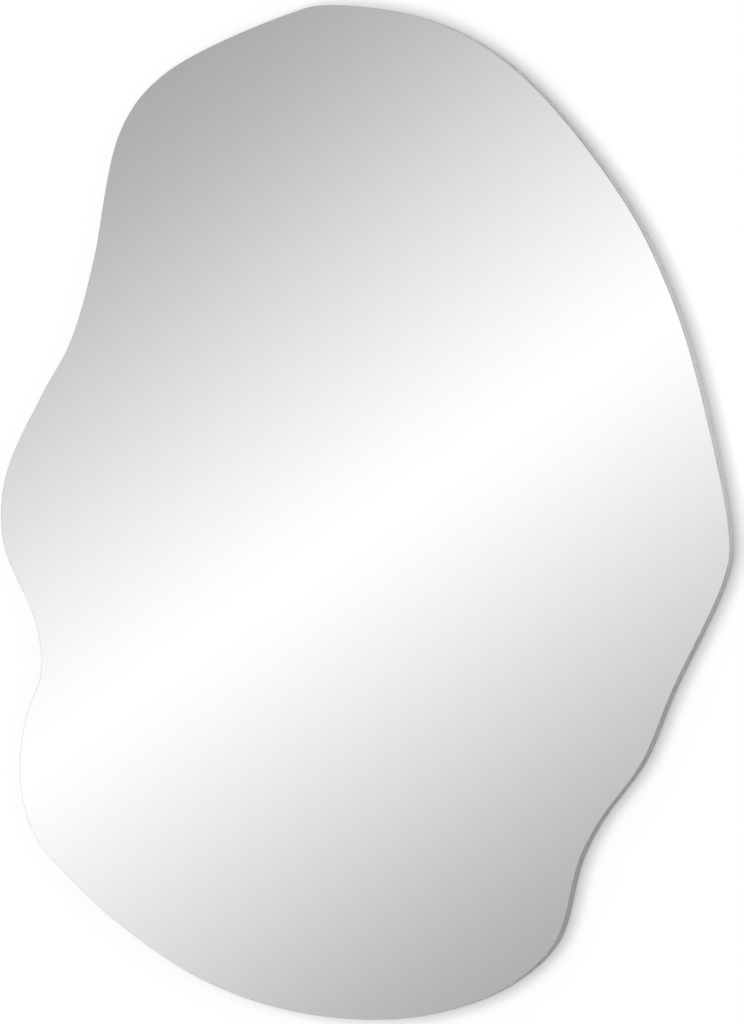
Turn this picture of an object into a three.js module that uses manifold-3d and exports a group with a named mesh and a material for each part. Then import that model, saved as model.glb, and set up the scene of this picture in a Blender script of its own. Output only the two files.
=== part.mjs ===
// An irregular, frameless wall mirror, shaped like a flattened pebble.
//
// A silvered pane with a polished edge is bonded to a backing board, which an edge strip closes all
// round. A hooked rail on the back of the board hangs on a second, identical rail that is screwed to
// the wall, and two rubber bumpers low on the back keep the pane parallel to the wall.
//
// The part's frame: the origin is the middle of the wall rail's back face, +X runs to the right of
// someone who looks at the mirror, +Z is up, and the mirror stands out from the wall towards -Y.
// Lengths are in millimetres.

import * as THREE from "three";
import { mergeVertices } from "three/addons/utils/BufferGeometryUtils.js";
import Module from "manifold-3d";

const wasm = await Module();
wasm.setup();

// ---------------------------------------------------------------- the pane and its outline

const PANEL_WIDTH = 512; // over the left and right bulges
const PANEL_HEIGHT = 700; // from the top lobe to the bottom lobe

// The pane's edge, clockwise from the top lobe, as x to the right and y up from the middle of the
// pane. The curve through the points is fitted to PANEL_WIDTH and PANEL_HEIGHT.
const OUTLINE_POINTS = [
  [-27, 350],
  [44, 340],
  [106, 305],
  [181, 216],
  [216, 146],
  [239, 69],
  [256, -24],
  [251, -49],
  [215, -125],
  [195, -172],
  [165, -213],
  [151, -240],
  [135, -295],
  [110, -321],
  [75, -339],
  [23, -350],
  [-49, -345],
  [-112, -324],
  [-168, -288],
  [-203, -257],
  [-232, -223],
  [-242, -183],
  [-237, -140],
  [-227, -111],
  [-231, -76],
  [-254, -20],
  [-252, 25],
  [-226, 82],
  [-209, 112],
  [-200, 136],
  [-190, 174],
  [-170, 266],
  [-140, 303],
  [-47, 346],
];
const OUTLINE_STEPS = 180; // straight facets that stand for the curve

// ---------------------------------------------------------------- the layers, front to back

const GLASS_THICKNESS = 4;
const GLASS_ARRIS = 0.5; // the narrow chamfer ground along both edges of the glass
const FILM_THICKNESS = 0.25;
const FILM_INSET = 1.5; // from the edge of the glass to the edge of the safety film
const BOND_THICKNESS = 1; // the tapes and beads between the film and the board
const BOARD_THICKNESS = 15;

const BAND_THICKNESS = 1;
const BAND_INSET = 0.5; // how far the edge of the glass stands proud of the strip
const BAND_SEAM = 0.3; // the open joint where the ends of the strip meet
const GLUE_LINE = 0.3; // between the strip and the edge of the board

const TAPE_COUNT = 3;
const TAPE_WIDTH = 20;
const TAPE_SPACING = 110;
const BEAD_WIDTH = 12;
const BOND_END_MARGIN = 30; // from the ends of the tapes and beads to the edge of the glass

// ---------------------------------------------------------------- the two hooked rails

const RAIL_DROP = 160; // from the top lobe down to the middle of the wall rail
const RAIL_THICKNESS = 2;
const RAIL_BASE_HEIGHT = 24; // the flange that is screwed on
const RAIL_JOG = 4.25; // the depth of the slot behind the hook
const HOOK_DEPTH = 12; // how deep the hooks reach behind each other
const HOOK_PLAY = 0.5; // the free room between the two hooks, front to back
const WALL_RAIL_LENGTH = 300;
const PANEL_RAIL_LENGTH = 260;
const SCREW_HOLE_PLAY = 0.4; // round a screw in its rail

// ---------------------------------------------------------------- screws, plugs and bumpers

const WALL_SCREW_COUNT = 4;
const WALL_SCREW_END_MARGIN = 24; // from the ends of the wall rail to its outer screws
const WALL_SCREW_RADIUS = 2;
const WALL_SCREW_LENGTH = 40;
const WALL_SCREW_HEAD_RADIUS = 4;
const WALL_SCREW_HEAD_HEIGHT = 2.5;

const PLUG_RADIUS = 3;
const PLUG_LENGTH = 30;
const PLUG_SINK = 2.5; // how far the plug is pushed in below the face of the wall
const PLUG_PLAY = 0.2; // between the screw and the bore of the plug
const PLUG_SLIT_WIDTH = 1;
const PLUG_SOLID_MOUTH = 6; // the unslit length at the mouth of the plug

const BOARD_SCREW_RADIUS = 1.75; // the screws of the panel rail and of the bumpers
const BOARD_SCREW_HEAD_RADIUS = 3.5;
const BOARD_SCREW_HEAD_HEIGHT = 2.25;
const PILOT_PLAY = 0.3; // round a screw in the board
const PILOT_EXTRA_DEPTH = 1; // beyond the tip of the screw
const RAIL_SCREW_COUNT = 4;
const RAIL_SCREW_END_MARGIN = 22; // from the ends of the panel rail to its outer screws
const RAIL_SCREW_LENGTH = 13;
const BUMPER_SCREW_LENGTH = 15;

const BUMPER_RISE = 100; // from the bottom lobe up to the bumpers
const BUMPER_SPACING = 220;
const BUMPER_RADIUS = 10; // at the board
const BUMPER_TAPER = 1.5; // how much smaller the radius is at the wall
const BUMPER_RECESS_RADIUS = 5.5;
const BUMPER_FLOOR = 3.5; // the rubber under the washer
const WASHER_THICKNESS = 1;
const WASHER_PLAY = 0.5; // between the washer and the wall of the recess

const ROUND_SIDES = 32; // the bumpers and washers
const SCREW_SIDES = 16;
const HEAD_ARC_STEPS = 4;
const BEAD_END_STEPS = 8;
const CUT_OVERSHOOT = 1; // how far a cutting tool runs past the faces that it cuts
const SCREW_TIP_SHARE = 1.5; // the length of a screw's point, in radii
const DRIVE_SPAN_SHARE = 1.2; // the span of the cross recess, in head radii
const DRIVE_BLADE_SHARE = 0.36; // the width of each arm of the cross, in head radii
const DRIVE_DEPTH_SHARE = 0.5; // the depth of the cross, in head heights

// ---------------------------------------------------------------- places, out from the wall

const standOff = 2 * RAIL_JOG - HOOK_PLAY; // the hooks set the gap between the wall and the board
const boardFront = standOff + BOARD_THICKNESS;
const filmBack = boardFront + BOND_THICKNESS;
const glassBack = filmBack + FILM_THICKNESS;

const panelMiddle = RAIL_DROP - PANEL_HEIGHT / 2; // height of the pane's middle
const hookTop = RAIL_BASE_HEIGHT / 2 + HOOK_DEPTH;
const panelRailHeight = hookTop + RAIL_BASE_HEIGHT / 2; // middle of the panel rail's flange
const screwLineDrop = RAIL_THICKNESS / 2; // the screws sit midway on the free part of the flange

// ---------------------------------------------------------------- materials

const finish = (color, roughness, metalness) =>
  new THREE.MeshStandardMaterial({ color, roughness, metalness });

const silveredGlass = finish(0xe9ecec, 0.03, 1);
const clearFilm = finish(0xb9c0c4, 0.4, 0);
const foamTape = finish(0xe8e8e4, 0.9, 0);
const mirrorAdhesive = finish(0xd8d6cf, 0.6, 0);
const fibreboard = finish(0xa98a63, 0.85, 0);
const silverStrip = finish(0xa3a3a3, 0.4, 0.4);
const aluminium = finish(0xc3c6c8, 0.35, 1);
const zincedSteel = finish(0xb4b8bb, 0.3, 1);
const blackRubber = finish(0x1d1d1e, 0.85, 0);
const greyNylon = finish(0x8d9296, 0.55, 0);

// ---------------------------------------------------------------- joining and cutting solids

// A closed geometry as a solid that can be cut.
function toSolid(geometry) {
  const bare = geometry.clone();
  bare.deleteAttribute("normal");
  bare.deleteAttribute("uv");
  const merged = mergeVertices(bare);
  return new wasm.Manifold(
    new wasm.Mesh({
      numProp: 3,
      vertProperties: merged.getAttribute("position").array,
      triVerts: new Uint32Array(merged.index.array),
    }),
  );
}

// The geometry of a body with each of the tools cut out of it.
function cut(body, tools) {
  let solid = toSolid(body);
  for (const tool of tools) {
    solid = solid.subtract(toSolid(tool));
  }
  const mesh = solid.getMesh();
  const geometry = new THREE.BufferGeometry();
  geometry.setAttribute("position", new THREE.BufferAttribute(mesh.vertProperties, 3));
  geometry.setIndex(new THREE.BufferAttribute(mesh.triVerts, 1));
  geometry.computeVertexNormals();
  return geometry;
}

function piece(name, geometry, material) {
  const mesh = new THREE.Mesh(geometry, material);
  mesh.name = name;
  return mesh;
}

// Places along x for a row of equal steps that is centred on x = 0.
function centredRow(count, spacing) {
  return Array.from({ length: count }, (_, index) => (index - (count - 1) / 2) * spacing);
}

// Such a row whose first and last places are a margin away from the ends of a length.
function rowAlong(length, margin, count) {
  return centredRow(count, (length - 2 * margin) / (count - 1));
}

// ---------------------------------------------------------------- the outline

// The x of the centre of gravity of a flat outline.
function balanceOf(points) {
  let twiceArea = 0;
  let moment = 0;
  points.forEach((point, index) => {
    const next = points[(index + 1) % points.length];
    const cross = point.x * next.y - next.x * point.y;
    twiceArea += cross;
    moment += (point.x + next.x) * cross;
  });
  return moment / (3 * twiceArea);
}

// The pane's outline, with x = 0 where it balances, so that a rail centred there hangs it level.
function paneOutline() {
  const corners = OUTLINE_POINTS.map(([x, y]) => new THREE.Vector3(x, y, 0));
  const curve = new THREE.CatmullRomCurve3(corners, true, "centripetal");
  const samples = curve.getSpacedPoints(OUTLINE_STEPS).slice(0, OUTLINE_STEPS);
  const box = new THREE.Box2().setFromPoints(samples);
  const size = box.getSize(new THREE.Vector2());
  const middle = box.getCenter(new THREE.Vector2());
  const fitted = samples.map(
    ({ x, y }) =>
      new THREE.Vector2(
        ((x - middle.x) * PANEL_WIDTH) / size.x,
        ((y - middle.y) * PANEL_HEIGHT) / size.y + panelMiddle,
      ),
  );
  const balance = balanceOf(fitted);
  return fitted.map(({ x, y }) => new THREE.Vector2(x - balance, y));
}

// A clockwise outline moved inwards by the same distance all round.
function inset(points, distance) {
  const inward = (from, to) => new THREE.Vector2(to.y - from.y, from.x - to.x).normalize();
  return points.map((point, index) => {
    const before = points[(index + points.length - 1) % points.length];
    const after = points[(index + 1) % points.length];
    const first = inward(before, point);
    const second = inward(point, after);
    const mitre = first.clone().add(second);
    return point.clone().addScaledVector(mitre, distance / (1 + first.dot(second)));
  });
}

// The lowest and highest y of the outline on the upright line at x.
function uprightChord(points, x) {
  const crossings = [];
  points.forEach((point, index) => {
    const next = points[(index + 1) % points.length];
    if (point.x < x !== next.x < x) {
      const share = (x - point.x) / (next.x - point.x);
      crossings.push(point.y + share * (next.y - point.y));
    }
  });
  return { low: Math.min(...crossings), high: Math.max(...crossings) };
}

const glassOutline = paneOutline();

// ---------------------------------------------------------------- the layers

// A flat sheet with the given outline, its back face this far out from the wall.
function sheet(outline, thickness, back) {
  const geometry = new THREE.ExtrudeGeometry(new THREE.Shape(outline), {
    depth: thickness,
    bevelEnabled: false,
  });
  return geometry.translate(0, 0, back);
}

function mirrorGlass() {
  const geometry = new THREE.ExtrudeGeometry(new THREE.Shape(glassOutline), {
    depth: GLASS_THICKNESS - 2 * GLASS_ARRIS,
    bevelEnabled: true,
    bevelThickness: GLASS_ARRIS,
    bevelSize: GLASS_ARRIS,
    bevelOffset: -GLASS_ARRIS,
    bevelSegments: 1,
  });
  geometry.translate(0, 0, glassBack + GLASS_ARRIS);
  return piece("mirror_glass", geometry, silveredGlass);
}

function safetyFilm() {
  const geometry = sheet(inset(glassOutline, FILM_INSET), FILM_THICKNESS, filmBack);
  return piece("safety_film", geometry, clearFilm);
}

// Foam tapes hold the pane while the adhesive sets; they stand upright, side by side.
function mountingTapes() {
  return centredRow(TAPE_COUNT, TAPE_SPACING).map((x, index) => {
    const chord = uprightChord(glassOutline, x);
    const length = chord.high - chord.low - 2 * BOND_END_MARGIN;
    const geometry = new THREE.BoxGeometry(TAPE_WIDTH, length, BOND_THICKNESS);
    geometry.translate(x, (chord.low + chord.high) / 2, boardFront + BOND_THICKNESS / 2);
    return piece(`mounting_tape_${index + 1}`, geometry, foamTape);
  });
}

// Beads of adhesive run midway between the tapes and outside them, pressed flat with round ends.
function adhesiveBeads() {
  return centredRow(TAPE_COUNT + 1, TAPE_SPACING).map((x, index) => {
    const chord = uprightChord(glassOutline, x);
    const radius = BEAD_WIDTH / 2;
    const bead = new THREE.Shape();
    bead.absarc(x, chord.high - BOND_END_MARGIN - radius, radius, 0, Math.PI, false);
    bead.absarc(x, chord.low + BOND_END_MARGIN + radius, radius, Math.PI, 2 * Math.PI, false);
    const geometry = new THREE.ExtrudeGeometry(bead, {
      depth: BOND_THICKNESS,
      bevelEnabled: false,
      curveSegments: BEAD_END_STEPS,
    });
    geometry.translate(0, 0, boardFront);
    return piece(`adhesive_bead_${index + 1}`, geometry, mirrorAdhesive);
  });
}

// A blind hole in the back of the board for a screw whose head bears this far out from the wall.
function pilotHole(x, y, headSeat, screwLength) {
  const bottom = headSeat + screwLength + PILOT_EXTRA_DEPTH;
  const radius = BOARD_SCREW_RADIUS + PILOT_PLAY;
  const geometry = new THREE.CylinderGeometry(radius, radius, bottom, SCREW_SIDES);
  return geometry.rotateX(Math.PI / 2).translate(x, y, bottom / 2);
}

function backingBoard() {
  const edge = BAND_INSET + BAND_THICKNESS + GLUE_LINE;
  const board = sheet(inset(glassOutline, edge), BOARD_THICKNESS, standOff);
  const railHoles = railScrewPlaces().map(({ x, y }) =>
    pilotHole(x, y, standOff - RAIL_THICKNESS, RAIL_SCREW_LENGTH),
  );
  const bumperHoles = bumperPlaces().map(({ x, y }) =>
    pilotHole(x, y, bumperHeadSeat, BUMPER_SCREW_LENGTH),
  );
  return piece("backing_board", cut(board, [...railHoles, ...bumperHoles]), fibreboard);
}

// One strip, bent round the board, whose ends meet at the bottom.
function edgeBand() {
  const lowest = glassOutline.reduce((low, point) => (point.y < low.y ? point : low));
  const start = glassOutline.indexOf(lowest);
  const turned = [...glassOutline.slice(start), ...glassOutline.slice(0, start)];
  const openLoop = (distance) => {
    const loop = inset(turned, distance);
    const last = loop[loop.length - 1];
    const seam = loop[0].clone().sub(last).setLength(BAND_SEAM);
    return [...loop, loop[0].clone().sub(seam)];
  };
  const outer = openLoop(BAND_INSET);
  const inner = openLoop(BAND_INSET + BAND_THICKNESS);
  const geometry = sheet([...outer, ...inner.reverse()], BOARD_THICKNESS, standOff);
  return piece("edge_band", geometry, silverStrip);
}

// ---------------------------------------------------------------- turned pieces

// A ring along y from a closed profile of radius and height pairs.
function ring(profile, sides) {
  const corners = [...profile, profile[0]].map(([radius, y]) => new THREE.Vector2(radius, y));
  return new THREE.LatheGeometry(corners, sides);
}

// A round-head screw along y: the head's underside is at y = 0 and the point at y = length.
function screw(radius, length, headRadius, headHeight) {
  const profile = [];
  for (let step = 0; step <= HEAD_ARC_STEPS; step += 1) {
    const turn = ((step / HEAD_ARC_STEPS) * Math.PI) / 2;
    profile.push(new THREE.Vector2(headRadius * Math.sin(turn), -headHeight * Math.cos(turn)));
  }
  profile.push(new THREE.Vector2(radius, 0));
  profile.push(new THREE.Vector2(radius, length - SCREW_TIP_SHARE * radius));
  profile.push(new THREE.Vector2(0, length));
  const turned = new THREE.LatheGeometry(profile, SCREW_SIDES);
  const depth = headHeight * DRIVE_DEPTH_SHARE;
  const span = headRadius * DRIVE_SPAN_SHARE;
  const blade = headRadius * DRIVE_BLADE_SHARE;
  const arms = [
    new THREE.BoxGeometry(span, depth + CUT_OVERSHOOT, blade),
    new THREE.BoxGeometry(blade, depth + CUT_OVERSHOOT, span),
  ];
  arms.forEach((arm) => arm.translate(0, (depth - CUT_OVERSHOOT) / 2 - headHeight, 0));
  return cut(turned, arms);
}

const boardScrew = (length) =>
  screw(BOARD_SCREW_RADIUS, length, BOARD_SCREW_HEAD_RADIUS, BOARD_SCREW_HEAD_HEIGHT);

// ---------------------------------------------------------------- the rails

const railScrewPlaces = () =>
  rowAlong(PANEL_RAIL_LENGTH, RAIL_SCREW_END_MARGIN, RAIL_SCREW_COUNT).map((x) => ({
    x,
    y: panelRailHeight + screwLineDrop,
  }));

const wallScrewPlaces = () =>
  rowAlong(WALL_RAIL_LENGTH, WALL_SCREW_END_MARGIN, WALL_SCREW_COUNT).map((x) => ({
    x,
    y: -screwLineDrop,
  }));

// The rail lies along x, with its flange's back on z = 0 and its hook up and out. Both rails are
// lengths of this one section.
function hookedRail(length, holes, holeRadius) {
  const low = -RAIL_BASE_HEIGHT / 2;
  const shelf = RAIL_BASE_HEIGHT / 2;
  const section = new THREE.Shape([
    new THREE.Vector2(0, low),
    new THREE.Vector2(RAIL_THICKNESS, low),
    new THREE.Vector2(RAIL_THICKNESS, shelf - RAIL_THICKNESS),
    new THREE.Vector2(RAIL_JOG + RAIL_THICKNESS, shelf - RAIL_THICKNESS),
    new THREE.Vector2(RAIL_JOG + RAIL_THICKNESS, hookTop),
    new THREE.Vector2(RAIL_JOG, hookTop),
    new THREE.Vector2(RAIL_JOG, shelf),
    new THREE.Vector2(0, shelf),
  ]);
  const rail = new THREE.ExtrudeGeometry(section, { depth: length, bevelEnabled: false });
  rail.rotateY(-Math.PI / 2).translate(length / 2, 0, 0);
  const drills = holes.map(({ x, y }) => {
    const depth = RAIL_THICKNESS + 2 * CUT_OVERSHOOT;
    const drill = new THREE.CylinderGeometry(holeRadius, holeRadius, depth, SCREW_SIDES);
    return drill.rotateX(Math.PI / 2).translate(x, y, RAIL_THICKNESS / 2);
  });
  return cut(rail, drills);
}

function wallRail() {
  const holeRadius = WALL_SCREW_RADIUS + SCREW_HOLE_PLAY;
  const geometry = hookedRail(WALL_RAIL_LENGTH, wallScrewPlaces(), holeRadius);
  return piece("wall_rail", geometry, aluminium);
}

// The same section, turned over so that its hook points down and back towards the wall.
function panelRail() {
  const holeRadius = BOARD_SCREW_RADIUS + SCREW_HOLE_PLAY;
  const holes = railScrewPlaces().map(({ x, y }) => ({ x, y: panelRailHeight - y }));
  const mesh = piece("panel_rail", hookedRail(PANEL_RAIL_LENGTH, holes, holeRadius), aluminium);
  mesh.rotation.x = Math.PI;
  mesh.position.set(0, panelRailHeight, standOff);
  return mesh;
}

function panelRailScrews() {
  const geometry = boardScrew(RAIL_SCREW_LENGTH);
  return railScrewPlaces().map(({ x, y }, index) => {
    const mesh = piece(`panel_rail_screw_${index + 1}`, geometry, zincedSteel);
    mesh.rotation.x = Math.PI / 2;
    mesh.position.set(x, y, standOff - RAIL_THICKNESS);
    return mesh;
  });
}

// ---------------------------------------------------------------- bumpers

const bumperHeadSeat = standOff - BUMPER_FLOOR - WASHER_THICKNESS;

const BUMPER_SIDES = ["left", "right"];

const bumperPlaces = () =>
  centredRow(BUMPER_SIDES.length, BUMPER_SPACING).map((x) => ({
    x,
    y: RAIL_DROP - PANEL_HEIGHT + BUMPER_RISE,
  }));

function bumperRubber() {
  const bore = BOARD_SCREW_RADIUS + SCREW_HOLE_PLAY;
  const profile = [
    [bore, 0],
    [BUMPER_RADIUS, 0],
    [BUMPER_RADIUS - BUMPER_TAPER, standOff],
    [BUMPER_RECESS_RADIUS, standOff],
    [BUMPER_RECESS_RADIUS, BUMPER_FLOOR],
    [bore, BUMPER_FLOOR],
  ];
  return ring(profile, ROUND_SIDES);
}

function bumperWasher() {
  const bore = BOARD_SCREW_RADIUS + SCREW_HOLE_PLAY;
  const rim = BUMPER_RECESS_RADIUS - WASHER_PLAY;
  const profile = [
    [bore, BUMPER_FLOOR],
    [rim, BUMPER_FLOOR],
    [rim, BUMPER_FLOOR + WASHER_THICKNESS],
    [bore, BUMPER_FLOOR + WASHER_THICKNESS],
  ];
  return ring(profile, ROUND_SIDES);
}

// Each bumper stands on the back of the board, and its screw goes through washer and rubber.
function bumpers() {
  return bumperPlaces().flatMap(({ x, y }, index) => {
    const name = `bumper_${BUMPER_SIDES[index]}`;
    const rubber = piece(name, bumperRubber(), blackRubber);
    const washer = piece(`${name}_washer`, bumperWasher(), zincedSteel);
    const fixing = piece(`${name}_screw`, boardScrew(BUMPER_SCREW_LENGTH), zincedSteel);
    for (const mesh of [rubber, washer]) {
      mesh.rotation.x = -Math.PI / 2;
      mesh.position.set(x, y, standOff);
    }
    fixing.rotation.x = Math.PI / 2;
    fixing.position.set(x, y, bumperHeadSeat);
    return [rubber, washer, fixing];
  });
}

// ---------------------------------------------------------------- what goes into the wall

function wallScrews() {
  const geometry = screw(
    WALL_SCREW_RADIUS,
    WALL_SCREW_LENGTH,
    WALL_SCREW_HEAD_RADIUS,
    WALL_SCREW_HEAD_HEIGHT,
  );
  return wallScrewPlaces().map(({ x, y }, index) => {
    const mesh = piece(`wall_screw_${index + 1}`, geometry, zincedSteel);
    mesh.rotation.x = -Math.PI / 2;
    mesh.position.set(x, y, RAIL_THICKNESS);
    return mesh;
  });
}

// A nylon sleeve, slit through from its tip almost to its mouth so that the screw can spread it.
function wallPlug() {
  const bore = WALL_SCREW_RADIUS + PLUG_PLAY;
  const profile = [
    [bore, 0],
    [PLUG_RADIUS, 0],
    [PLUG_RADIUS, PLUG_LENGTH],
    [bore, PLUG_LENGTH],
  ];
  const sleeve = ring(profile, SCREW_SIDES);
  const slitEnd = PLUG_LENGTH + CUT_OVERSHOOT;
  const slitLength = slitEnd - PLUG_SOLID_MOUTH;
  const slit = new THREE.BoxGeometry(2 * (PLUG_RADIUS + CUT_OVERSHOOT), slitLength, PLUG_SLIT_WIDTH);
  slit.translate(0, slitEnd - slitLength / 2, 0);
  return cut(sleeve, [slit]);
}

function wallPlugs() {
  const geometry = wallPlug();
  return wallScrewPlaces().map(({ x, y }, index) => {
    const mesh = piece(`wall_plug_${index + 1}`, geometry, greyNylon);
    mesh.rotation.x = -Math.PI / 2;
    mesh.position.set(x, y, -PLUG_SINK);
    return mesh;
  });
}

// ---------------------------------------------------------------- the whole mirror

const panel = new THREE.Group();
panel.name = "panel";
panel.add(mirrorGlass(), safetyFilm(), ...mountingTapes(), ...adhesiveBeads());
panel.add(backingBoard(), edgeBand(), panelRail(), ...panelRailScrews(), ...bumpers());

const wallSide = new THREE.Group();
wallSide.name = "wall_side";
wallSide.add(wallRail(), ...wallScrews(), ...wallPlugs());

// Everything above is drawn with y up and z out from the wall; the part's frame has z up.
const mirror = new THREE.Group();
mirror.name = "irregular_mirror";
mirror.rotation.x = Math.PI / 2;
mirror.add(panel, wallSide);

export default mirror;
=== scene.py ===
# %% [markdown]
# # A frameless wall mirror, shaped like a flattened pebble
#
# The real mirror is a silvered pane of glass with no frame. It is bonded to a board, and a satin
# strip closes the board's edge, which is the grey side that shows when one stands a little to the
# right. Behind it there are a hooked rail, its twin on the wall, screws, plugs and two bumpers.
#
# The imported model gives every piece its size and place. This script only dresses it: each piece is
# modelled again with the eased edges, threads and grain that the real one has, right where the
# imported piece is, and then it rides on the same body.

import math

import bmesh
import bpy
import numpy as np
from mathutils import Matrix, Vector, noise


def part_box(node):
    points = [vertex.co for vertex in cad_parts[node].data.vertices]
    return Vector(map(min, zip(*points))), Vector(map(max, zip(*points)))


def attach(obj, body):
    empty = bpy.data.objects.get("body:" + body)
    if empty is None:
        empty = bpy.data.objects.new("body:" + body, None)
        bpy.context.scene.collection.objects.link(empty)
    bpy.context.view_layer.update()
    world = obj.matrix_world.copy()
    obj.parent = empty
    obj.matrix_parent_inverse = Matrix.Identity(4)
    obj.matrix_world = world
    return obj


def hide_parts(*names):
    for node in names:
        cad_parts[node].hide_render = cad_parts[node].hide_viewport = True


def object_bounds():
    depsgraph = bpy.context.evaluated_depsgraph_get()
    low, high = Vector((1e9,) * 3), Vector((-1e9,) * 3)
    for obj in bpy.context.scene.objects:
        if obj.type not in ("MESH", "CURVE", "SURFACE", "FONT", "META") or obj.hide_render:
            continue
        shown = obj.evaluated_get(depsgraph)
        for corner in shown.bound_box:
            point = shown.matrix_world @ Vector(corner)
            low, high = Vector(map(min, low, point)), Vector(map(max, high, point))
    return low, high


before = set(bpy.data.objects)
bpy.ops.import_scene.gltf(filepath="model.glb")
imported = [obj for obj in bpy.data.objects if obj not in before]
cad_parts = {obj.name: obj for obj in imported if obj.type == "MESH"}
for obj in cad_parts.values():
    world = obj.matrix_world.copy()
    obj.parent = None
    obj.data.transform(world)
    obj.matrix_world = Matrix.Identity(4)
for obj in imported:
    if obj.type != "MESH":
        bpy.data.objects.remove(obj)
cad_low, cad_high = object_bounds()
MM = 0.001
print("nodes:", len(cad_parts), "box, mm:", [round(c / MM, 1) for c in cad_high - cad_low])

# %% [markdown]
# ## Where the camera stands
#
# The strip shows along the right side only, about 4 mm of its 20 mm depth, and neither its top nor
# its underside shows. So the camera stands level with the pane and 11 degrees to the right. The two
# sides of the strip run parallel, so the lens is long and the camera far away. That also keeps the
# outline free of perspective, and the reflection almost even from one edge to the other.

# %% Camera
CAMERA_TURN = math.radians(11)
LENS = 600  # mm, on a sensor whose long side is 36 mm
SENSOR = 36
FRAME_HEIGHT = 1024
PIXELS_PER_METRE = 1450  # at the pane
AIM_RIGHT_OF_MIDDLE = 5.9 * MM
AIM_ABOVE_MIDDLE = 0.2 * MM


def place_camera(aim):
    """Puts the camera where the photographer stood, level with aim and turned to the right."""
    data = bpy.data.cameras.new("camera")
    data.lens = LENS
    data.sensor_width = SENSOR
    distance = LENS / SENSOR * FRAME_HEIGHT / PIXELS_PER_METRE
    data.clip_end = 3 * distance
    camera = bpy.data.objects.new("camera", data)
    bpy.context.scene.collection.objects.link(camera)
    back = Vector((math.sin(CAMERA_TURN), -math.cos(CAMERA_TURN), 0))
    camera.location = aim + distance * back
    camera.rotation_euler = (math.pi / 2, 0, CAMERA_TURN)
    bpy.context.scene.camera = camera
    print("camera is", round(distance, 2), "m from the pane")
    return camera


middle = (cad_low + cad_high) / 2
aim = Vector((middle.x + AIM_RIGHT_OF_MIDDLE, cad_low.y, middle.z + AIM_ABOVE_MIDDLE))
camera = place_camera(aim)

# %% [markdown]
# ## A short way to write node trees
#
# Both materials and Geometry Nodes are trees of nodes joined by wires. Written out call by call,
# a formula of five terms takes thirty lines. So one small class wraps a socket and answers to
# Python's own operators, and another adds a node with its settings first and its sockets after.
# After that, a pattern reads like the sum that it is.

# %% Wires and trees


class Wire:
    """A socket of a node tree. Python's operators on it add Math nodes."""

    def __init__(self, tree, socket):
        self.tree = tree
        self.socket = socket

    def __add__(self, other):
        return self.tree.maths("ADD", self, other)

    def __sub__(self, other):
        return self.tree.maths("SUBTRACT", self, other)

    def __rsub__(self, other):
        return self.tree.maths("SUBTRACT", other, self)

    def __mul__(self, other):
        return self.tree.maths("MULTIPLY", self, other)

    def __truediv__(self, other):
        return self.tree.maths("DIVIDE", self, other)

    def __rtruediv__(self, other):
        return self.tree.maths("DIVIDE", other, self)

    def __pow__(self, other):
        return self.tree.maths("POWER", self, other)

    def __gt__(self, other):
        return self.tree.maths("GREATER_THAN", self, other)

    def __lt__(self, other):
        return self.tree.maths("LESS_THAN", self, other)

    def __neg__(self):
        return self.tree.maths("MULTIPLY", self, -1)

    def __abs__(self):
        return self.tree.maths("ABSOLUTE", self)

    __radd__ = __add__
    __rmul__ = __mul__


class Node:
    """A node whose outputs are picked by name, or by number where names repeat."""

    def __init__(self, tree, node):
        self.tree = tree
        self.node = node

    def __getitem__(self, key):
        return Wire(self.tree, pick(self.node.outputs, key))


def pick(sockets, key):
    """The socket in use with this name or number."""
    if isinstance(key, int):
        return sockets[key]
    return next(s for s in sockets if s.enabled and key in (s.name, s.identifier))


class Tree:
    """A node tree that grows one node at a time."""

    def __init__(self, node_tree):
        self.node_tree = node_tree

    def add(self, kind, settings=None, sockets=None):
        """Adds a node: its settings first, then the values or wires of its sockets."""
        node = self.node_tree.nodes.new(kind)
        for name, value in (settings or {}).items():
            if name == "stops":
                self.set_stops(node.color_ramp, value)
            else:
                setattr(node, name, value)
        for key, value in (sockets or {}).items():
            self.feed(pick(node.inputs, key), value)
        return Node(self, node)

    def set_stops(self, ramp, stops):
        while len(ramp.elements) < len(stops):
            ramp.elements.new(1)
        for element, (place, value) in zip(ramp.elements, stops):
            element.position = place
            element.color = value if isinstance(value, tuple) else (value, value, value, 1)

    def feed(self, socket, value):
        if isinstance(value, Wire):
            self.node_tree.links.new(value.socket, socket)
        else:
            socket.default_value = value

    def maths(self, operation, *values, clamp=False):
        settings = {"operation": operation, "use_clamp": clamp}
        return self.add("ShaderNodeMath", settings, dict(enumerate(values)))[0]

    def vector(self, operation, first, second):
        """A Vector Math node: SCALE takes a number second, the others a vector."""
        key = "Scale" if operation == "SCALE" else 1
        out = "Value" if operation == "DOT_PRODUCT" else "Vector"
        settings = {"operation": operation}
        return self.add("ShaderNodeVectorMath", settings, {0: first, key: second})[out]

    def mix(self, share, first, second):
        """A blend of two colours."""
        sockets = {"Factor": share, "A": first, "B": second}
        return self.add("ShaderNodeMix", {"data_type": "RGBA"}, sockets)["Result"]

    def shaders(self, share, first, second):
        """A blend of two shaders."""
        sockets = {"Fac": share, 1: first, 2: second}
        return self.add("ShaderNodeMixShader", {}, sockets)["Shader"]

    def xyz(self, x, y, z):
        return self.add("ShaderNodeCombineXYZ", {}, {"X": x, "Y": y, "Z": z})["Vector"]


# %% [markdown]
# ## How a piece is grown from a tree
#
# A Geometry Nodes tree is a recipe: it takes a plain drawing, such as the pane's outline, and sizes
# by name, and gives the finished piece. `grown` runs a recipe once and keeps the plain mesh that
# comes out, so that nothing is left for later steps to work out again.

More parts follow.
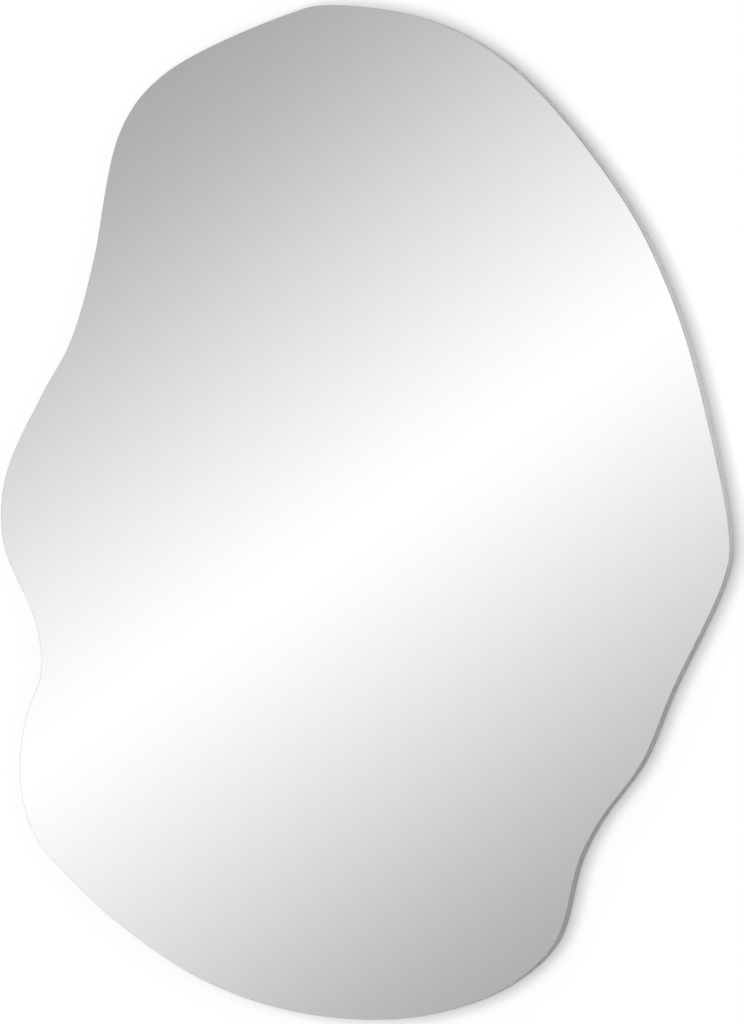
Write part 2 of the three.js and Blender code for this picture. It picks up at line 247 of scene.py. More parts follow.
# %% Recipes and grown pieces
NUMBER = "NodeSocketFloat"
COUNT = "NodeSocketInt"
FINISH = "NodeSocketMaterial"
MODEL = "NodeSocketObject"
SHAPE = "NodeSocketGeometry"
WELD = 0.001 * MM  # points closer than this are one point


def recipe(name, sizes):
    """A new geometry tree with named inputs, and the node that gives them."""
    group = bpy.data.node_groups.new(name, "GeometryNodeTree")
    group.interface.new_socket("Drawing", in_out="INPUT", socket_type=SHAPE)
    for size, kind in sizes.items():
        group.interface.new_socket(size, in_out="INPUT", socket_type=kind)
    group.interface.new_socket("Piece", in_out="OUTPUT", socket_type=SHAPE)
    tree = Tree(group)
    return tree, tree.add("NodeGroupInput")


def finish_recipe(tree, shape, material=None):
    """Realizes copies, gives the material if it is the same all over, and ends the tree."""
    shape = tree.add("GeometryNodeRealizeInstances", {}, {"Geometry": shape})["Geometry"]
    if material is not None:
        shape = painted(tree, shape, material)
    tree.add("NodeGroupOutput", {}, {0: shape})
    return tree.node_tree


def painted(tree, shape, material):
    sockets = {"Geometry": shape, "Material": material}
    return tree.add("GeometryNodeSetMaterial", {}, sockets)["Geometry"]


def joined(tree, *shapes):
    join = tree.add("GeometryNodeJoinGeometry")
    for shape in shapes:
        tree.node_tree.links.new(shape.socket, join.node.inputs[0])
    return join["Geometry"]


def welded(tree, shape):
    sockets = {"Geometry": shape, "Distance": WELD}
    return tree.add("GeometryNodeMergeByDistance", {}, sockets)["Geometry"]


def smoothed(tree, shape, smooth):
    sockets = {"Geometry": shape, "Shade Smooth": smooth}
    return tree.add("GeometryNodeSetShadeSmooth", {}, sockets)["Geometry"]


def turned(tree, shape, degrees, shift=(0, 0, 0)):
    rotation = tuple(math.radians(angle) for angle in degrees)
    sockets = {"Geometry": shape, "Rotation": rotation, "Translation": shift}
    return tree.add("GeometryNodeTransform", {}, sockets)["Geometry"]


def grown(name, drawing, group, inputs, ease=0.0):
    """Runs a recipe over a drawing once, eases the sharp edges, and keeps the plain mesh."""
    piece = bpy.data.objects.new(name, drawing)
    bpy.context.scene.collection.objects.link(piece)
    modifier = piece.modifiers.new("recipe", "NODES")
    modifier.node_group = group
    for item in group.interface.items_tree:
        if item.item_type == "SOCKET" and item.in_out == "INPUT" and item.name in inputs:
            modifier[item.identifier] = inputs[item.name]
    if ease:
        bevel = piece.modifiers.new("eased edges", "BEVEL")
        bevel.width = ease
        bevel.segments = 2
        bevel.limit_method = "ANGLE"
        bevel.angle_limit = math.radians(50)
        bevel.harden_normals = False
    depsgraph = bpy.context.evaluated_depsgraph_get()
    evaluated = piece.evaluated_get(depsgraph)
    mesh = bpy.data.meshes.new_from_object(evaluated, depsgraph=depsgraph)
    piece.modifiers.clear()
    piece.data = mesh
    mesh.name = name
    used = {polygon.material_index for polygon in mesh.polygons}
    for index in reversed(range(len(mesh.materials))):
        if mesh.materials[index] is None and index not in used:
            mesh.materials.pop(index=index)
    print(name, "has", len(mesh.polygons), "faces")
    return piece


dressed = []


def dress(piece, body, slot, *nodes):
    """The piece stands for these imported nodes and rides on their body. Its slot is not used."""
    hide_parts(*nodes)
    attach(piece, body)
    dressed.append(piece)
    return piece


def named(prefix):
    """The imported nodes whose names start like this, in order."""
    return sorted(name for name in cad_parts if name.startswith(prefix))

# %% [markdown]
# ## Finishes
#
# No surface of the real mirror is one flat colour. Board has fibres, extruded metal has fine lines
# along its length, foil has a brushed grain that follows the strip. Each finish below is worked out
# from a place on the piece, in metres, so its grain has the true size from any distance and no
# picture is needed. Only colour, roughness and small bumps vary. Everything else is a constant.

# %% A blank finish


def new_finish(name):
    """An empty material, its tree, and the place on the piece in metres."""
    material = bpy.data.materials.new(name)
    material.use_nodes = True
    material.node_tree.nodes.clear()
    tree = Tree(material.node_tree)
    return material, tree, tree.add("ShaderNodeTexCoord")["Object"]


def grain(tree, place, scale, stretch=(1, 1, 1), detail=2.0, coarse=0.5):
    """Soft random clouds, 0 to 1, with this many to the metre; stretch sets the scale by axis."""
    sized = tree.vector("MULTIPLY", place, tuple(scale * share for share in stretch))
    sockets = {"Vector": sized, "Scale": 1.0, "Detail": detail, "Roughness": coarse}
    return tree.add("ShaderNodeTexNoise", {"noise_dimensions": "3D"}, sockets)["Fac"]


def cells(tree, place, scale):
    """Distance to the nearest of many scattered points: bubbles, flakes and chips."""
    sockets = {"Vector": place, "Scale": scale}
    return tree.add("ShaderNodeTexVoronoi", {"feature": "F1"}, sockets)["Distance"]


def ramp(tree, value, *stops):
    """Bends a value, or turns it into a colour, by stops of place and level."""
    return tree.add("ShaderNodeValToRGB", {"stops": stops}, {"Fac": value})["Color"]


def bumped(tree, height, depth, strength=1.0):
    """A normal for a relief of this depth in metres."""
    sockets = {"Height": height, "Distance": depth, "Strength": strength}
    return tree.add("ShaderNodeBump", {}, sockets)["Normal"]


def surfaced(tree, sockets):
    """Ends a finish with one shader."""
    shader = tree.add("ShaderNodeBsdfPrincipled", {}, sockets)["BSDF"]
    tree.add("ShaderNodeOutputMaterial", {}, {"Surface": shader})


# %% [markdown]
# ### The pane: silvered face, polished rim, painted back
#
# A mirror reflects from the silver behind the glass. From the front the two act as one smooth
# metal, so the face is metal, very smooth, with the faintest wipe marks in its roughness. The rim
# is bare glass: dark, a little green, with lines left by the polishing belt across it. The silver
# is sealed behind by a coat of grey paint with a slight orange peel.

# %% Finishes of the pane


def silvered_face():
    material, tree, place = new_finish("silvered face")
    wipes = grain(tree, place, 7, (1, 1, 2.5), detail=4)
    specks = ramp(tree, cells(tree, place, 220), (0.0, 1.0), (0.05, 0.0))
    tint = tree.mix(wipes, (0.965, 0.97, 0.968, 1), (0.975, 0.978, 0.976, 1))
    sockets = {
        "Base Color": tint,
        "Metallic": 1.0,
        "Roughness": 0.008 + wipes * 0.012 + specks * 0.03,
    }
    surfaced(tree, sockets)
    return material


def polished_rim():
    material, tree, place = new_finish("polished rim")
    belt = grain(tree, place, 60, (1, 40, 1), detail=3)
    clouds = grain(tree, place, 35)
    sockets = {
        "Base Color": tree.mix(clouds, (0.335, 0.35, 0.345, 1), (0.395, 0.412, 0.406, 1)),
        "Roughness": 0.14 + belt * 0.16,
        "Normal": bumped(tree, belt, 0.01 * MM),
    }
    surfaced(tree, sockets)
    return material


def sealing_paint():
    material, tree, place = new_finish("sealing paint")
    peel = grain(tree, place, 900, detail=1)
    clouds = grain(tree, place, 14, detail=3)
    sockets = {
        "Base Color": tree.mix(clouds, (0.085, 0.10, 0.112, 1), (0.11, 0.127, 0.14, 1)),
        "Roughness": 0.42 + peel * 0.2,
        "Normal": bumped(tree, peel, 0.02 * MM),
    }
    surfaced(tree, sockets)
    return material


# %% [markdown]
# ### What bonds the pane to the board
#
# The safety film is a thin plastic sheet over a woven net, which keeps the shards together if the
# glass breaks. The net is two sets of fine threads, drawn with sine waves. The tapes are closed-cell
# foam, so they are full of small bubbles. The adhesive is a putty that was pressed flat: smooth,
# slightly shiny, with smears along the bead.

# %% Finishes between pane and board


def netted_film():
    material, tree, place = new_finish("netted film")
    at = tree.add("ShaderNodeSeparateXYZ", {}, {"Vector": place})
    pitch = 2 * math.pi / (4 * MM)
    across = abs(tree.maths("SINE", at["X"] * pitch)) ** 12
    upright = abs(tree.maths("SINE", at["Z"] * pitch)) ** 12
    threads = tree.maths("MAXIMUM", across, upright)
    creases = grain(tree, place, 9, (1, 1, 0.3), detail=3)
    base = tree.mix(creases, (0.47, 0.53, 0.56, 1), (0.55, 0.60, 0.63, 1))
    sockets = {
        "Base Color": tree.mix(threads * 0.5, base, (0.78, 0.80, 0.80, 1)),
        "Roughness": 0.3 + creases * 0.15,
        "Normal": bumped(tree, threads + creases * 0.5, 0.05 * MM),
    }
    surfaced(tree, sockets)
    return material


def white_foam():
    material, tree, place = new_finish("white foam")
    bubbles = cells(tree, place, 2600)
    clouds = grain(tree, place, 60, detail=3)
    # The bubbles are drawn darker in colour: painted shade in their hollows, on top of a real bump.
    pores_and_painted_shade = ramp(tree, bubbles, (0.0, 0.0), (0.35, 1.0))
    sockets = {
        "Base Color": tree.mix(pores_and_painted_shade, (0.55, 0.55, 0.52, 1), (0.80, 0.80, 0.77, 1)),
        "Roughness": 0.82 + clouds * 0.12,
        "Normal": bumped(tree, pores_and_painted_shade, 0.12 * MM),
    }
    surfaced(tree, sockets)
    return material


def pressed_adhesive():
    material, tree, place = new_finish("pressed adhesive")
    smears = grain(tree, place, 180, (1, 1, 0.12), detail=4)
    lumps = grain(tree, place, 50, detail=2)
    sockets = {
        "Base Color": tree.mix(lumps, (0.62, 0.60, 0.54, 1), (0.71, 0.69, 0.63, 1)),
        "Roughness": 0.34 + smears * 0.25,
        "Normal": bumped(tree, smears + lumps, 0.15 * MM),
    }
    surfaced(tree, sockets)
    return material


# %% [markdown]
# ### Board and strip
#
# Medium-density board is brown felted wood fibre. Up close it shows short dark and light hairs, and
# from afar soft clouds where the mat was denser. On the real board the sanded faces are paler than the
# drilled holes; here the holes get the same finish as the faces.
# The strip is silver-grey foil on plastic, with a brushed grain that runs along it. The grain has
# to follow the outline, so it reads two distances that the strip carries with it: how far along
# and how far across.

# %% Finishes of board and strip
RUN = "run"
ACROSS = "across"


def pressed_board():
    material, tree, place = new_finish("pressed board")
    level_hairs = grain(tree, place, 1300, (0.35, 0.6, 1), detail=4, coarse=0.7)
    upright_hairs = grain(tree, place, 1300, (1, 0.6, 0.35), detail=4, coarse=0.7)
    lean = ramp(tree, grain(tree, place, 420, detail=2), (0.44, 0.0), (0.56, 1.0))
    hairs = lean * level_hairs + (1 - lean) * upright_hairs
    flecks = ramp(tree, hairs, (0.36, 0.0), (0.64, 1.0))
    chips = ramp(tree, cells(tree, place, 480), (0.06, 0.55), (0.2, 0.0))
    clouds = grain(tree, place, 16, detail=4)
    dark = tree.mix(clouds, (0.325, 0.208, 0.112, 1), (0.36, 0.235, 0.130, 1))
    pale = tree.mix(clouds, (0.42, 0.285, 0.165, 1), (0.46, 0.315, 0.185, 1))
    base = tree.mix(flecks, dark, pale)
    sanding = grain(tree, place, 90, (0.03, 1, 1), detail=2)
    sockets = {
        "Base Color": tree.mix(chips, base, (0.26, 0.16, 0.085, 1)),
        "Roughness": 0.72 + sanding * 0.16,
        "Normal": bumped(tree, flecks + sanding * 0.3, 0.04 * MM),
    }
    surfaced(tree, sockets)
    return material


def attribute(tree, name):
    settings = {"attribute_name": name, "attribute_type": "GEOMETRY"}
    return tree.add("ShaderNodeAttribute", settings)["Fac"]


def brushed_foil():
    material, tree, place = new_finish("brushed foil")
    along = tree.xyz(attribute(tree, RUN), attribute(tree, ACROSS), 0)
    brush = grain(tree, along, 1, (35, 5200, 1), detail=3, coarse=0.6)
    waves = grain(tree, along, 1, (22, 60, 1), detail=2)
    sockets = {
        "Base Color": tree.mix(brush, (0.42, 0.42, 0.42, 1), (0.49, 0.49, 0.49, 1)),
        "Metallic": 0.25,
        "Roughness": 0.42 + brush * 0.14,
        "Normal": bumped(tree, brush + waves, 0.012 * MM),
    }
    surfaced(tree, sockets)
    return material


# %% [markdown]
# ### Metals, rubber and nylon
#
# Extruded aluminium carries fine die lines along its length, and they alone make it look like
# aluminium and not chrome. Zinc plate is cloudy, a little blue here and yellow there. Moulded rubber
# is matt and black with a faint grey bloom, and moulded nylon is smooth with soft flow marks.

# %% Finishes of the fittings


def extruded_aluminium():
    material, tree, place = new_finish("extruded aluminium")
    die_lines = grain(tree, place, 1600, (0.004, 1, 1), detail=3, coarse=0.65)
    handling = grain(tree, place, 45, (0.3, 1, 1), detail=3)
    sockets = {
        "Base Color": tree.mix(die_lines, (0.66, 0.67, 0.68, 1), (0.79, 0.80, 0.81, 1)),
        "Metallic": 1.0,
        "Roughness": 0.24 + die_lines * 0.16 + handling * 0.1,
        "Normal": bumped(tree, die_lines, 0.01 * MM),
    }
    surfaced(tree, sockets)
    return material


def plated_zinc():
    material, tree, place = new_finish("plated zinc")
    clouds = grain(tree, place, 320, detail=3)
    crystals = cells(tree, place, 1500)
    tint = ramp(
        tree,
        clouds,
        (0.3, (0.52, 0.57, 0.62, 1)),
        (0.5, (0.66, 0.67, 0.68, 1)),
        (0.72, (0.70, 0.67, 0.60, 1)),
    )
    sockets = {
        "Base Color": tint,
        "Metallic": 1.0,
        "Roughness": 0.22 + crystals * 0.2 + clouds * 0.08,
        "Normal": bumped(tree, crystals, 0.01 * MM),
    }
    surfaced(tree, sockets)
    return material


def moulded_rubber():
    material, tree, place = new_finish("moulded rubber")
    texture = grain(tree, place, 2200, detail=2)
    bloom = grain(tree, place, 130, detail=4)
    haze = ramp(tree, bloom, (0.45, 0.0), (0.8, 1.0))
    sockets = {
        "Base Color": tree.mix(haze, (0.012, 0.012, 0.013, 1), (0.045, 0.045, 0.047, 1)),
        "Roughness": 0.62 + haze * 0.22,
        "Normal": bumped(tree, texture, 0.03 * MM),
    }
    surfaced(tree, sockets)
    return material


def moulded_nylon():
    material, tree, place = new_finish("moulded nylon")
    flow = grain(tree, place, 240, (1, 0.15, 1), detail=3)
    fine = grain(tree, place, 2600, detail=1)
    sockets = {
        "Base Color": tree.mix(flow, (0.235, 0.262, 0.28, 1), (0.30, 0.33, 0.35, 1)),
        "Roughness": 0.38 + flow * 0.14,
        "Normal": bumped(tree, flow + fine * 0.4, 0.04 * MM),
    }
    surfaced(tree, sockets)
    return material


FINISHES = {
    "face": silvered_face(),
    "rim": polished_rim(),
    "paint": sealing_paint(),
    "film": netted_film(),
    "foam": white_foam(),
    "adhesive": pressed_adhesive(),
    "board": pressed_board(),
    "foil": brushed_foil(),
    "aluminium": extruded_aluminium(),
    "zinc": plated_zinc(),
    "rubber": moulded_rubber(),
    "nylon": moulded_nylon(),
}
print("finishes:", ", ".join(FINISHES))

# %% [markdown]
# ## The outline
#
# Pane, film, board and strip all follow one irregular outline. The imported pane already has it, as
# 180 straight facets. A smooth curve through the same corners gives the real edge back: between two
# corners it runs by the Catmull-Rom rule, which passes through every corner and never has a kink.

# %% The smooth outline
STEPS_BETWEEN_CORNERS = 4


def packed_corners():
    """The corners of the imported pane's widest ring, as x and z, anticlockwise from the front."""
    low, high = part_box("mirror_glass")
    corners = np.array([v.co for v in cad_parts["mirror_glass"].data.vertices])
    between = (corners[:, 1] > low.y + WELD) & (corners[:, 1] < high.y - WELD)
    places = np.unique(np.round(corners[between][:, (0, 2)], 6), axis=0)
    from_middle = places - places.mean(0)
    turn = np.arctan2(from_middle[:, 1], from_middle[:, 0])
    return places[np.argsort(turn)]


def smooth_ring(corners, steps):
    """More points on the closed Catmull-Rom curve through the corners."""
    before, after = np.roll(corners, 1, 0), np.roll(corners, -1, 0)
    last = np.roll(corners, -2, 0)
    rows = []
    for step in range(steps):
        t = step / steps
        pull = -before + 3 * corners - 3 * after + last
        bend = 2 * before - 5 * corners + 4 * after - last
        rows.append(corners + 0.5 * (t * (after - before) + t * t * bend + t**3 * pull))
    return np.stack(rows, 1).reshape(-1, 2)


def fitted(points, model):
    """The points stretched by a hair, so that they reach exactly as far as the model's."""
    low, high = points.min(0), points.max(0)
    share = (points - low) / (high - low)
    return model.min(0) + share * (model.max(0) - model.min(0))


corners = packed_corners()
outline = fitted(smooth_ring(corners, STEPS_BETWEEN_CORNERS), corners)
lengths = np.linalg.norm(np.roll(outline, -1, 0) - outline, axis=1)
print("outline:", len(outline), "points,", round(lengths.sum() / MM), "mm round")

# %% [markdown]
# ## Pane, film and board
#
# All three are flat sheets with the outline's shape, set in a little from each other, and each has
# eased edges. They could be drawn ring by ring, but they share one rule, so they share one recipe:
# offset the outline, sweep the eased section round it, fill the two faces and weld the lot. The
# recipe draws the sheet lying down, with the wall as the floor, and stands it up at the end.

# %% Recipe of an eased sheet


def closed_drawing(points, height=0.0):
    """A ring of points, joined by edges, lying flat."""
    mesh = bpy.data.meshes.new("drawing")
    count = len(points)
    edges = [(index, (index + 1) % count) for index in range(count)]
    mesh.from_pydata([(x, y, height) for x, y in points], edges, [])
    return mesh


def flat_curve(tree, drawing):
    """The drawing as a curve whose normals point outwards in its own plane."""
    curve = tree.add("GeometryNodeMeshToCurve", {}, {"Mesh": drawing})["Curve"]
    sockets = {"Curve": curve}
    return tree.add("GeometryNodeSetCurveNormal", {"mode": "Z_UP"}, sockets)["Curve"]


def offset(tree, curve, inwards, height):
    """The curve moved inwards along its normals and up by a height."""
    outward = tree.add("GeometryNodeInputNormal")["Normal"]
    shift = tree.vector("SCALE", outward, -inwards)
    shift = tree.vector("ADD", shift, tree.xyz(0, 0, height))
    sockets = {"Geometry": curve, "Offset": shift}
    return tree.add("GeometryNodeSetPosition", {}, sockets)["Geometry"]


def swept(tree, path, section, capped=False):
    sockets = {"Curve": path, "Profile Curve": section, "Fill Caps": capped}
    return tree.add("GeometryNodeCurveToMesh", {}, sockets)["Mesh"]


def filled(tree, curve):
    return tree.add("GeometryNodeFillCurve", {"mode": "NGONS"}, {"Curve": curve})["Mesh"]


def eased_section(tree, thickness, ease, steps):
    """The rounded half outline of an edge, from the front face round to the back face."""
    line = tree.add("GeometryNodeMeshLine", {}, {"Count": steps * 2 + 2})["Mesh"]
    step = tree.add("GeometryNodeInputIndex")["Index"]
    past_middle = step > steps
    turn = ((step - past_middle) / steps - 1) * (math.pi / 2)
    out = ease * (tree.maths("COSINE", turn) - 1)
    down = ease * tree.maths("SINE", turn) + (past_middle * 2 - 1) * (thickness / 2 - ease)
    sockets = {"Geometry": line, "Position": tree.xyz(out, down, 0)}
    bent = tree.add("GeometryNodeSetPosition", {}, sockets)["Geometry"]
    return tree.add("GeometryNodeMeshToCurve", {}, {"Mesh": bent})["Curve"]


def sheet_recipe():
    sizes = {
        "Inset": NUMBER,
        "Back": NUMBER,
        "Thickness": NUMBER,
        "Ease": NUMBER,
        "Ease steps": COUNT,
        "Front finish": FINISH,
        "Rim finish": FINISH,
        "Back finish": FINISH,
    }
    tree, given = recipe("eased sheet", sizes)
    curve = flat_curve(tree, given["Drawing"])
    thickness, ease, back = given["Thickness"], given["Ease"], given["Back"]
    section = eased_section(tree, thickness, ease, given["Ease steps"])
    rim = swept(tree, offset(tree, curve, given["Inset"], back + thickness / 2), section)
    rim = painted(tree, smoothed(tree, rim, True), given["Rim finish"])
    flat = smoothed(tree, filled(tree, offset(tree, curve, given["Inset"] + ease, 0)), False)
    front = turned(tree, flat, (0, 0, 0), tree.xyz(0, 0, back + thickness))
    behind = tree.add("GeometryNodeFlipFaces", {}, {"Mesh": flat})["Mesh"]
    behind = turned(tree, behind, (0, 0, 0), tree.xyz(0, 0, back))
    front = painted(tree, front, given["Front finish"])
    behind = painted(tree, behind, given["Back finish"])
    sheet = welded(tree, joined(tree, front, rim, behind))
    return finish_recipe(tree, turned(tree, sheet, (90, 0, 0)))


SHEET = sheet_recipe()


def grown_sheet(name, node, inset, ease, steps, front, rim, back):
    """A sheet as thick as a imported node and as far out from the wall."""
    low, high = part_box(node)
    inputs = {
        "Inset": inset,
        "Back": -high.y,
        "Thickness": high.y - low.y,
        "Ease": ease,
        "Ease steps": steps,
        "Front finish": front,
        "Rim finish": rim,
        "Back finish": back,
    }
    return grown(name, closed_drawing(outline), SHEET, inputs)


# %% The pane
ARRIS = 0.22 * MM  # so fine that it doesn't show from the front
face, rim, paint = FINISHES["face"], FINISHES["rim"], FINISHES["paint"]
pane = grown_sheet("mirror_pane", "mirror_glass", 0.0, ARRIS, 5, face, rim, paint)
dress(pane, "panel", "silvered_glass", "mirror_glass")

# %% The safety film
FILM_EASE = 0.1 * MM


def inset_of(node):
    """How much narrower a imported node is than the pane, on each side."""
    (pane_low, pane_high), (low, high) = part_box("mirror_glass"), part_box(node)
    return ((pane_high.x - pane_low.x) - (high.x - low.x)) / 2


net = FINISHES["film"]
film = grown_sheet("safety_film_sheet", "safety_film", inset_of("safety_film"), FILM_EASE, 3, net, net, net)
dress(film, "panel", "clear_film", "safety_film")

# %% [markdown]
# ## Tapes and adhesive
#
# The tapes are cut from a roll: straight sides, square ends, foam that bulges a little where it is
# squeezed. The beads are laid by hand from a nozzle and pressed flat, so their sides wander and
# their ends are round. One recipe does both: a section swept along a straight line, whose width
# then changes along the way. The wander is random, with a fixed seed.

# %% Recipe of a pressed ribbon
RIBBON_STEPS = 140
ROUND_END_LIMIT = 1.002  # keeps a hair of width at the very end


def ribbon_recipe():
    sizes = {
        "Width": NUMBER,
        "Thickness": NUMBER,
        "Height": NUMBER,
        "Middle": "NodeSocketVector",
        "Corner": NUMBER,
        "End length": NUMBER,
        "Wander": NUMBER,
        "Waves": NUMBER,
        "Seed": NUMBER,
        "Finish": FINISH,
    }
    tree, given = recipe("pressed ribbon", sizes)
    half = given["Height"] / 2
    sockets = {"Start": tree.xyz(0, -half, 0), "End": tree.xyz(0, half, 0)}
    line = tree.add("GeometryNodeCurvePrimitiveLine", {}, sockets)["Curve"]
    sockets = {"Curve": line, "Count": RIBBON_STEPS}
    line = tree.add("GeometryNodeResampleCurve", {"mode": "COUNT"}, sockets)["Curve"]
    line = tree.add("GeometryNodeSetCurveNormal", {"mode": "Z_UP"}, {"Curve": line})["Curve"]
    section = rounded_section(tree, given["Width"], given["Thickness"], given["Corner"], 4)
    ribbon = swept(tree, line, section, capped=True)
    place = tree.add("GeometryNodeInputPosition")["Position"]
    at = tree.add("ShaderNodeSeparateXYZ", {}, {"Vector": place})
    from_end = tree.maths("MINIMUM", (half - abs(at["Y"])) / given["End length"], 1)
    round_end = tree.maths("SQRT", ROUND_END_LIMIT - (1 - from_end) ** 2)
    round_end = tree.maths("MINIMUM", round_end, 1)
    spot = tree.xyz(at["X"] * given["Waves"], at["Y"] * given["Waves"], given["Seed"])
    wander = tree.add("ShaderNodeTexNoise", {}, {"Vector": spot, "Scale": 1.0})["Fac"]
    width = at["X"] * round_end * (1 - given["Wander"] * wander)
    sockets = {"Geometry": ribbon, "Position": tree.xyz(width, at["Y"], at["Z"])}
    shaped = tree.add("GeometryNodeSetPosition", {}, sockets)["Geometry"]
    standing = turned(tree, smoothed(tree, shaped, True), (90, 0, 0), given["Middle"])
    return finish_recipe(tree, joined(tree, given["Drawing"], standing), given["Finish"])


def rounded_section(tree, width, height, corner, steps):
    """A rectangle with rounded corners, as a closed curve."""
    sockets = {"Width": width, "Height": height}
    section = tree.add("GeometryNodeCurvePrimitiveQuadrilateral", {}, sockets)["Curve"]
    sockets = {"Curve": section, "Radius": corner, "Count": steps, "Limit Radius": True}
    return tree.add("GeometryNodeFilletCurve", {"mode": "POLY"}, sockets)["Curve"]


RIBBON = ribbon_recipe()
RIBBON_CORNER = 0.45 * MM  # nearly half the thickness, so the squeezed sides bulge


def grown_ribbons(name, nodes, end_length, wander, waves, finish):
    """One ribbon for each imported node, all in one piece: each run adds its ribbon to the last."""
    drawing = bpy.data.meshes.new("empty drawing")
    for seed, node in enumerate(nodes):
        low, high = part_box(node)
        inputs = {
            "Width": high.x - low.x,
            "Thickness": high.y - low.y,
            "Height": high.z - low.z,
            "Middle": (low + high) / 2,
            "Corner": RIBBON_CORNER,
            "End length": end_length,
            "Wander": wander,
            "Waves": waves,
            "Seed": float(seed),
            "Finish": finish,
        }
        ribbons = grown(name, drawing, RIBBON, inputs)
        drawing = ribbons.data
        if node != nodes[-1]:
            bpy.data.objects.remove(ribbons)
    return ribbons


# %% The tapes and the beads
TAPE_SQUARENESS = 0.2 * MM
TAPE_WANDER = 0.02
BEAD_WANDER = 0.4
BEAD_WAVES = 45.0

tape_nodes, bead_nodes = named("mounting_tape"), named("adhesive_bead")
tapes = grown_ribbons("mounting_tapes", tape_nodes, TAPE_SQUARENESS, TAPE_WANDER, 90.0, FINISHES["foam"])
dress(tapes, "panel", "foam_tape", *tape_nodes)
bead_low, bead_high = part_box(bead_nodes[0])
bead_end = (bead_high.x - bead_low.x) / 2
beads = grown_ribbons("adhesive_beads", bead_nodes, bead_end, BEAD_WANDER, BEAD_WAVES, FINISHES["adhesive"])
dress(beads, "panel", "mirror_adhesive", *bead_nodes)

# %% [markdown]
# ## The board and its pilot holes
#
# The board is the same eased sheet, only thicker, with blind holes for the six screws that hold
# the rail and the bumpers. A shop drills them, and so does this recipe: it puts one round drill at
# each place that it is given and takes all of them away from the board.

# %% Recipe of drilled holes
DRILL_SIDES = 32


def shape_of(tree, model):
    """The mesh of an object that the recipe is given."""
    sockets = {"Object": model, "As Instance": False}
    return tree.add("GeometryNodeObjectInfo", {}, sockets)["Geometry"]


def drilled_recipe():
    sizes = {"Places": MODEL, "Radius": NUMBER, "Depth": NUMBER, "Finish": FINISH}
    tree, given = recipe("drilled blank", sizes)
    sockets = {"Mesh": shape_of(tree, given["Places"])}
    places = tree.add("GeometryNodeMeshToPoints", {}, sockets)["Points"]
    sockets = {"Vertices": DRILL_SIDES, "Radius": given["Radius"], "Depth": given["Depth"]}
    drill = tree.add("GeometryNodeMeshCylinder", {}, sockets)["Mesh"]
    drill = painted(tree, turned(tree, drill, (90, 0, 0)), given["Finish"])
    sockets = {"Points": places, "Instance": drill}
    drills = tree.add("GeometryNodeInstanceOnPoints", {}, sockets)["Instances"]
    drills = tree.add("GeometryNodeRealizeInstances", {}, {"Geometry": drills})["Geometry"]
    settings = {"operation": "DIFFERENCE", "solver": "EXACT"}
    sockets = {"Mesh 1": given["Drawing"], "Mesh 2": drills}
    return finish_recipe(tree, tree.add("GeometryNodeMeshBoolean", settings, sockets)["Mesh"])


def helper_at(points):
    """A helper object whose points are places. It is taken away after use."""
    mesh = bpy.data.meshes.new("places")
    mesh.from_pydata([tuple(point) for point in points], [], [])
    helper = bpy.data.objects.new("places", mesh)
    bpy.context.scene.collection.objects.link(helper)
    return helper


DRILLED = drilled_recipe()


def drilled(blank, places, radius, depth, ease=0.0):
    """The blank with a round hole at each place, this deep to either side of it."""
    helper = helper_at(places)
    finish = blank.data.materials[0]
    inputs = {"Places": helper, "Radius": radius, "Depth": 2 * depth, "Finish": finish}
    name, mesh = blank.name, blank.data
    bpy.data.objects.remove(blank)
    piece = grown(name, mesh, DRILLED, inputs, ease)
    bpy.data.objects.remove(helper)
    return piece


def middles(nodes, y=None):
    """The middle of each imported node, or the point level with it at this y."""
    found = []
    for node in nodes:
        low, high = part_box(node)
        place = (low + high) / 2
        found.append(Vector((place.x, place.y if y is None else y, place.z)))
    return found


# %% The board
BOARD_EASE = 0.35 * MM
PILOT_RADIUS = 2.05 * MM
PILOT_EXTRA_DEPTH = 1 * MM

rail_screw_nodes = named("panel_rail_screw")
bumper_screw_nodes = ["bumper_left_screw", "bumper_right_screw"]
fibre = FINISHES["board"]
board_inset = inset_of("backing_board")
board = grown_sheet("board", "backing_board", board_inset, BOARD_EASE, 3, fibre, fibre, fibre)
board_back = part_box("backing_board")[1].y
for screws in (rail_screw_nodes, bumper_screw_nodes):
    depth = board_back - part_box(screws[0])[0].y + PILOT_EXTRA_DEPTH
    board = drilled(board, middles(screws, board_back), PILOT_RADIUS, depth)
dress(board, "panel", "fibreboard", "backing_board")

# %% [markdown]
# ## The strip round the board
#
# The strip is bent round the board from one length, and its ends meet at the lowest point, where
# nobody looks. It follows the outline, so it is swept: a small rounded section runs along the
# outline from the seam to the seam. On the way each point is told how far along it lies, and each
# point of the section how far across, because the foil's grain is drawn by these two.

# %% Recipe of the edge strip


def measured(tree, shape, name, value):
    """Stores a number on every point, for the finish to read."""
    sockets = {"Geometry": shape, "Name": name, "Value": value}
    return tree.add("GeometryNodeStoreNamedAttribute", {"data_type": "FLOAT"}, sockets)["Geometry"]


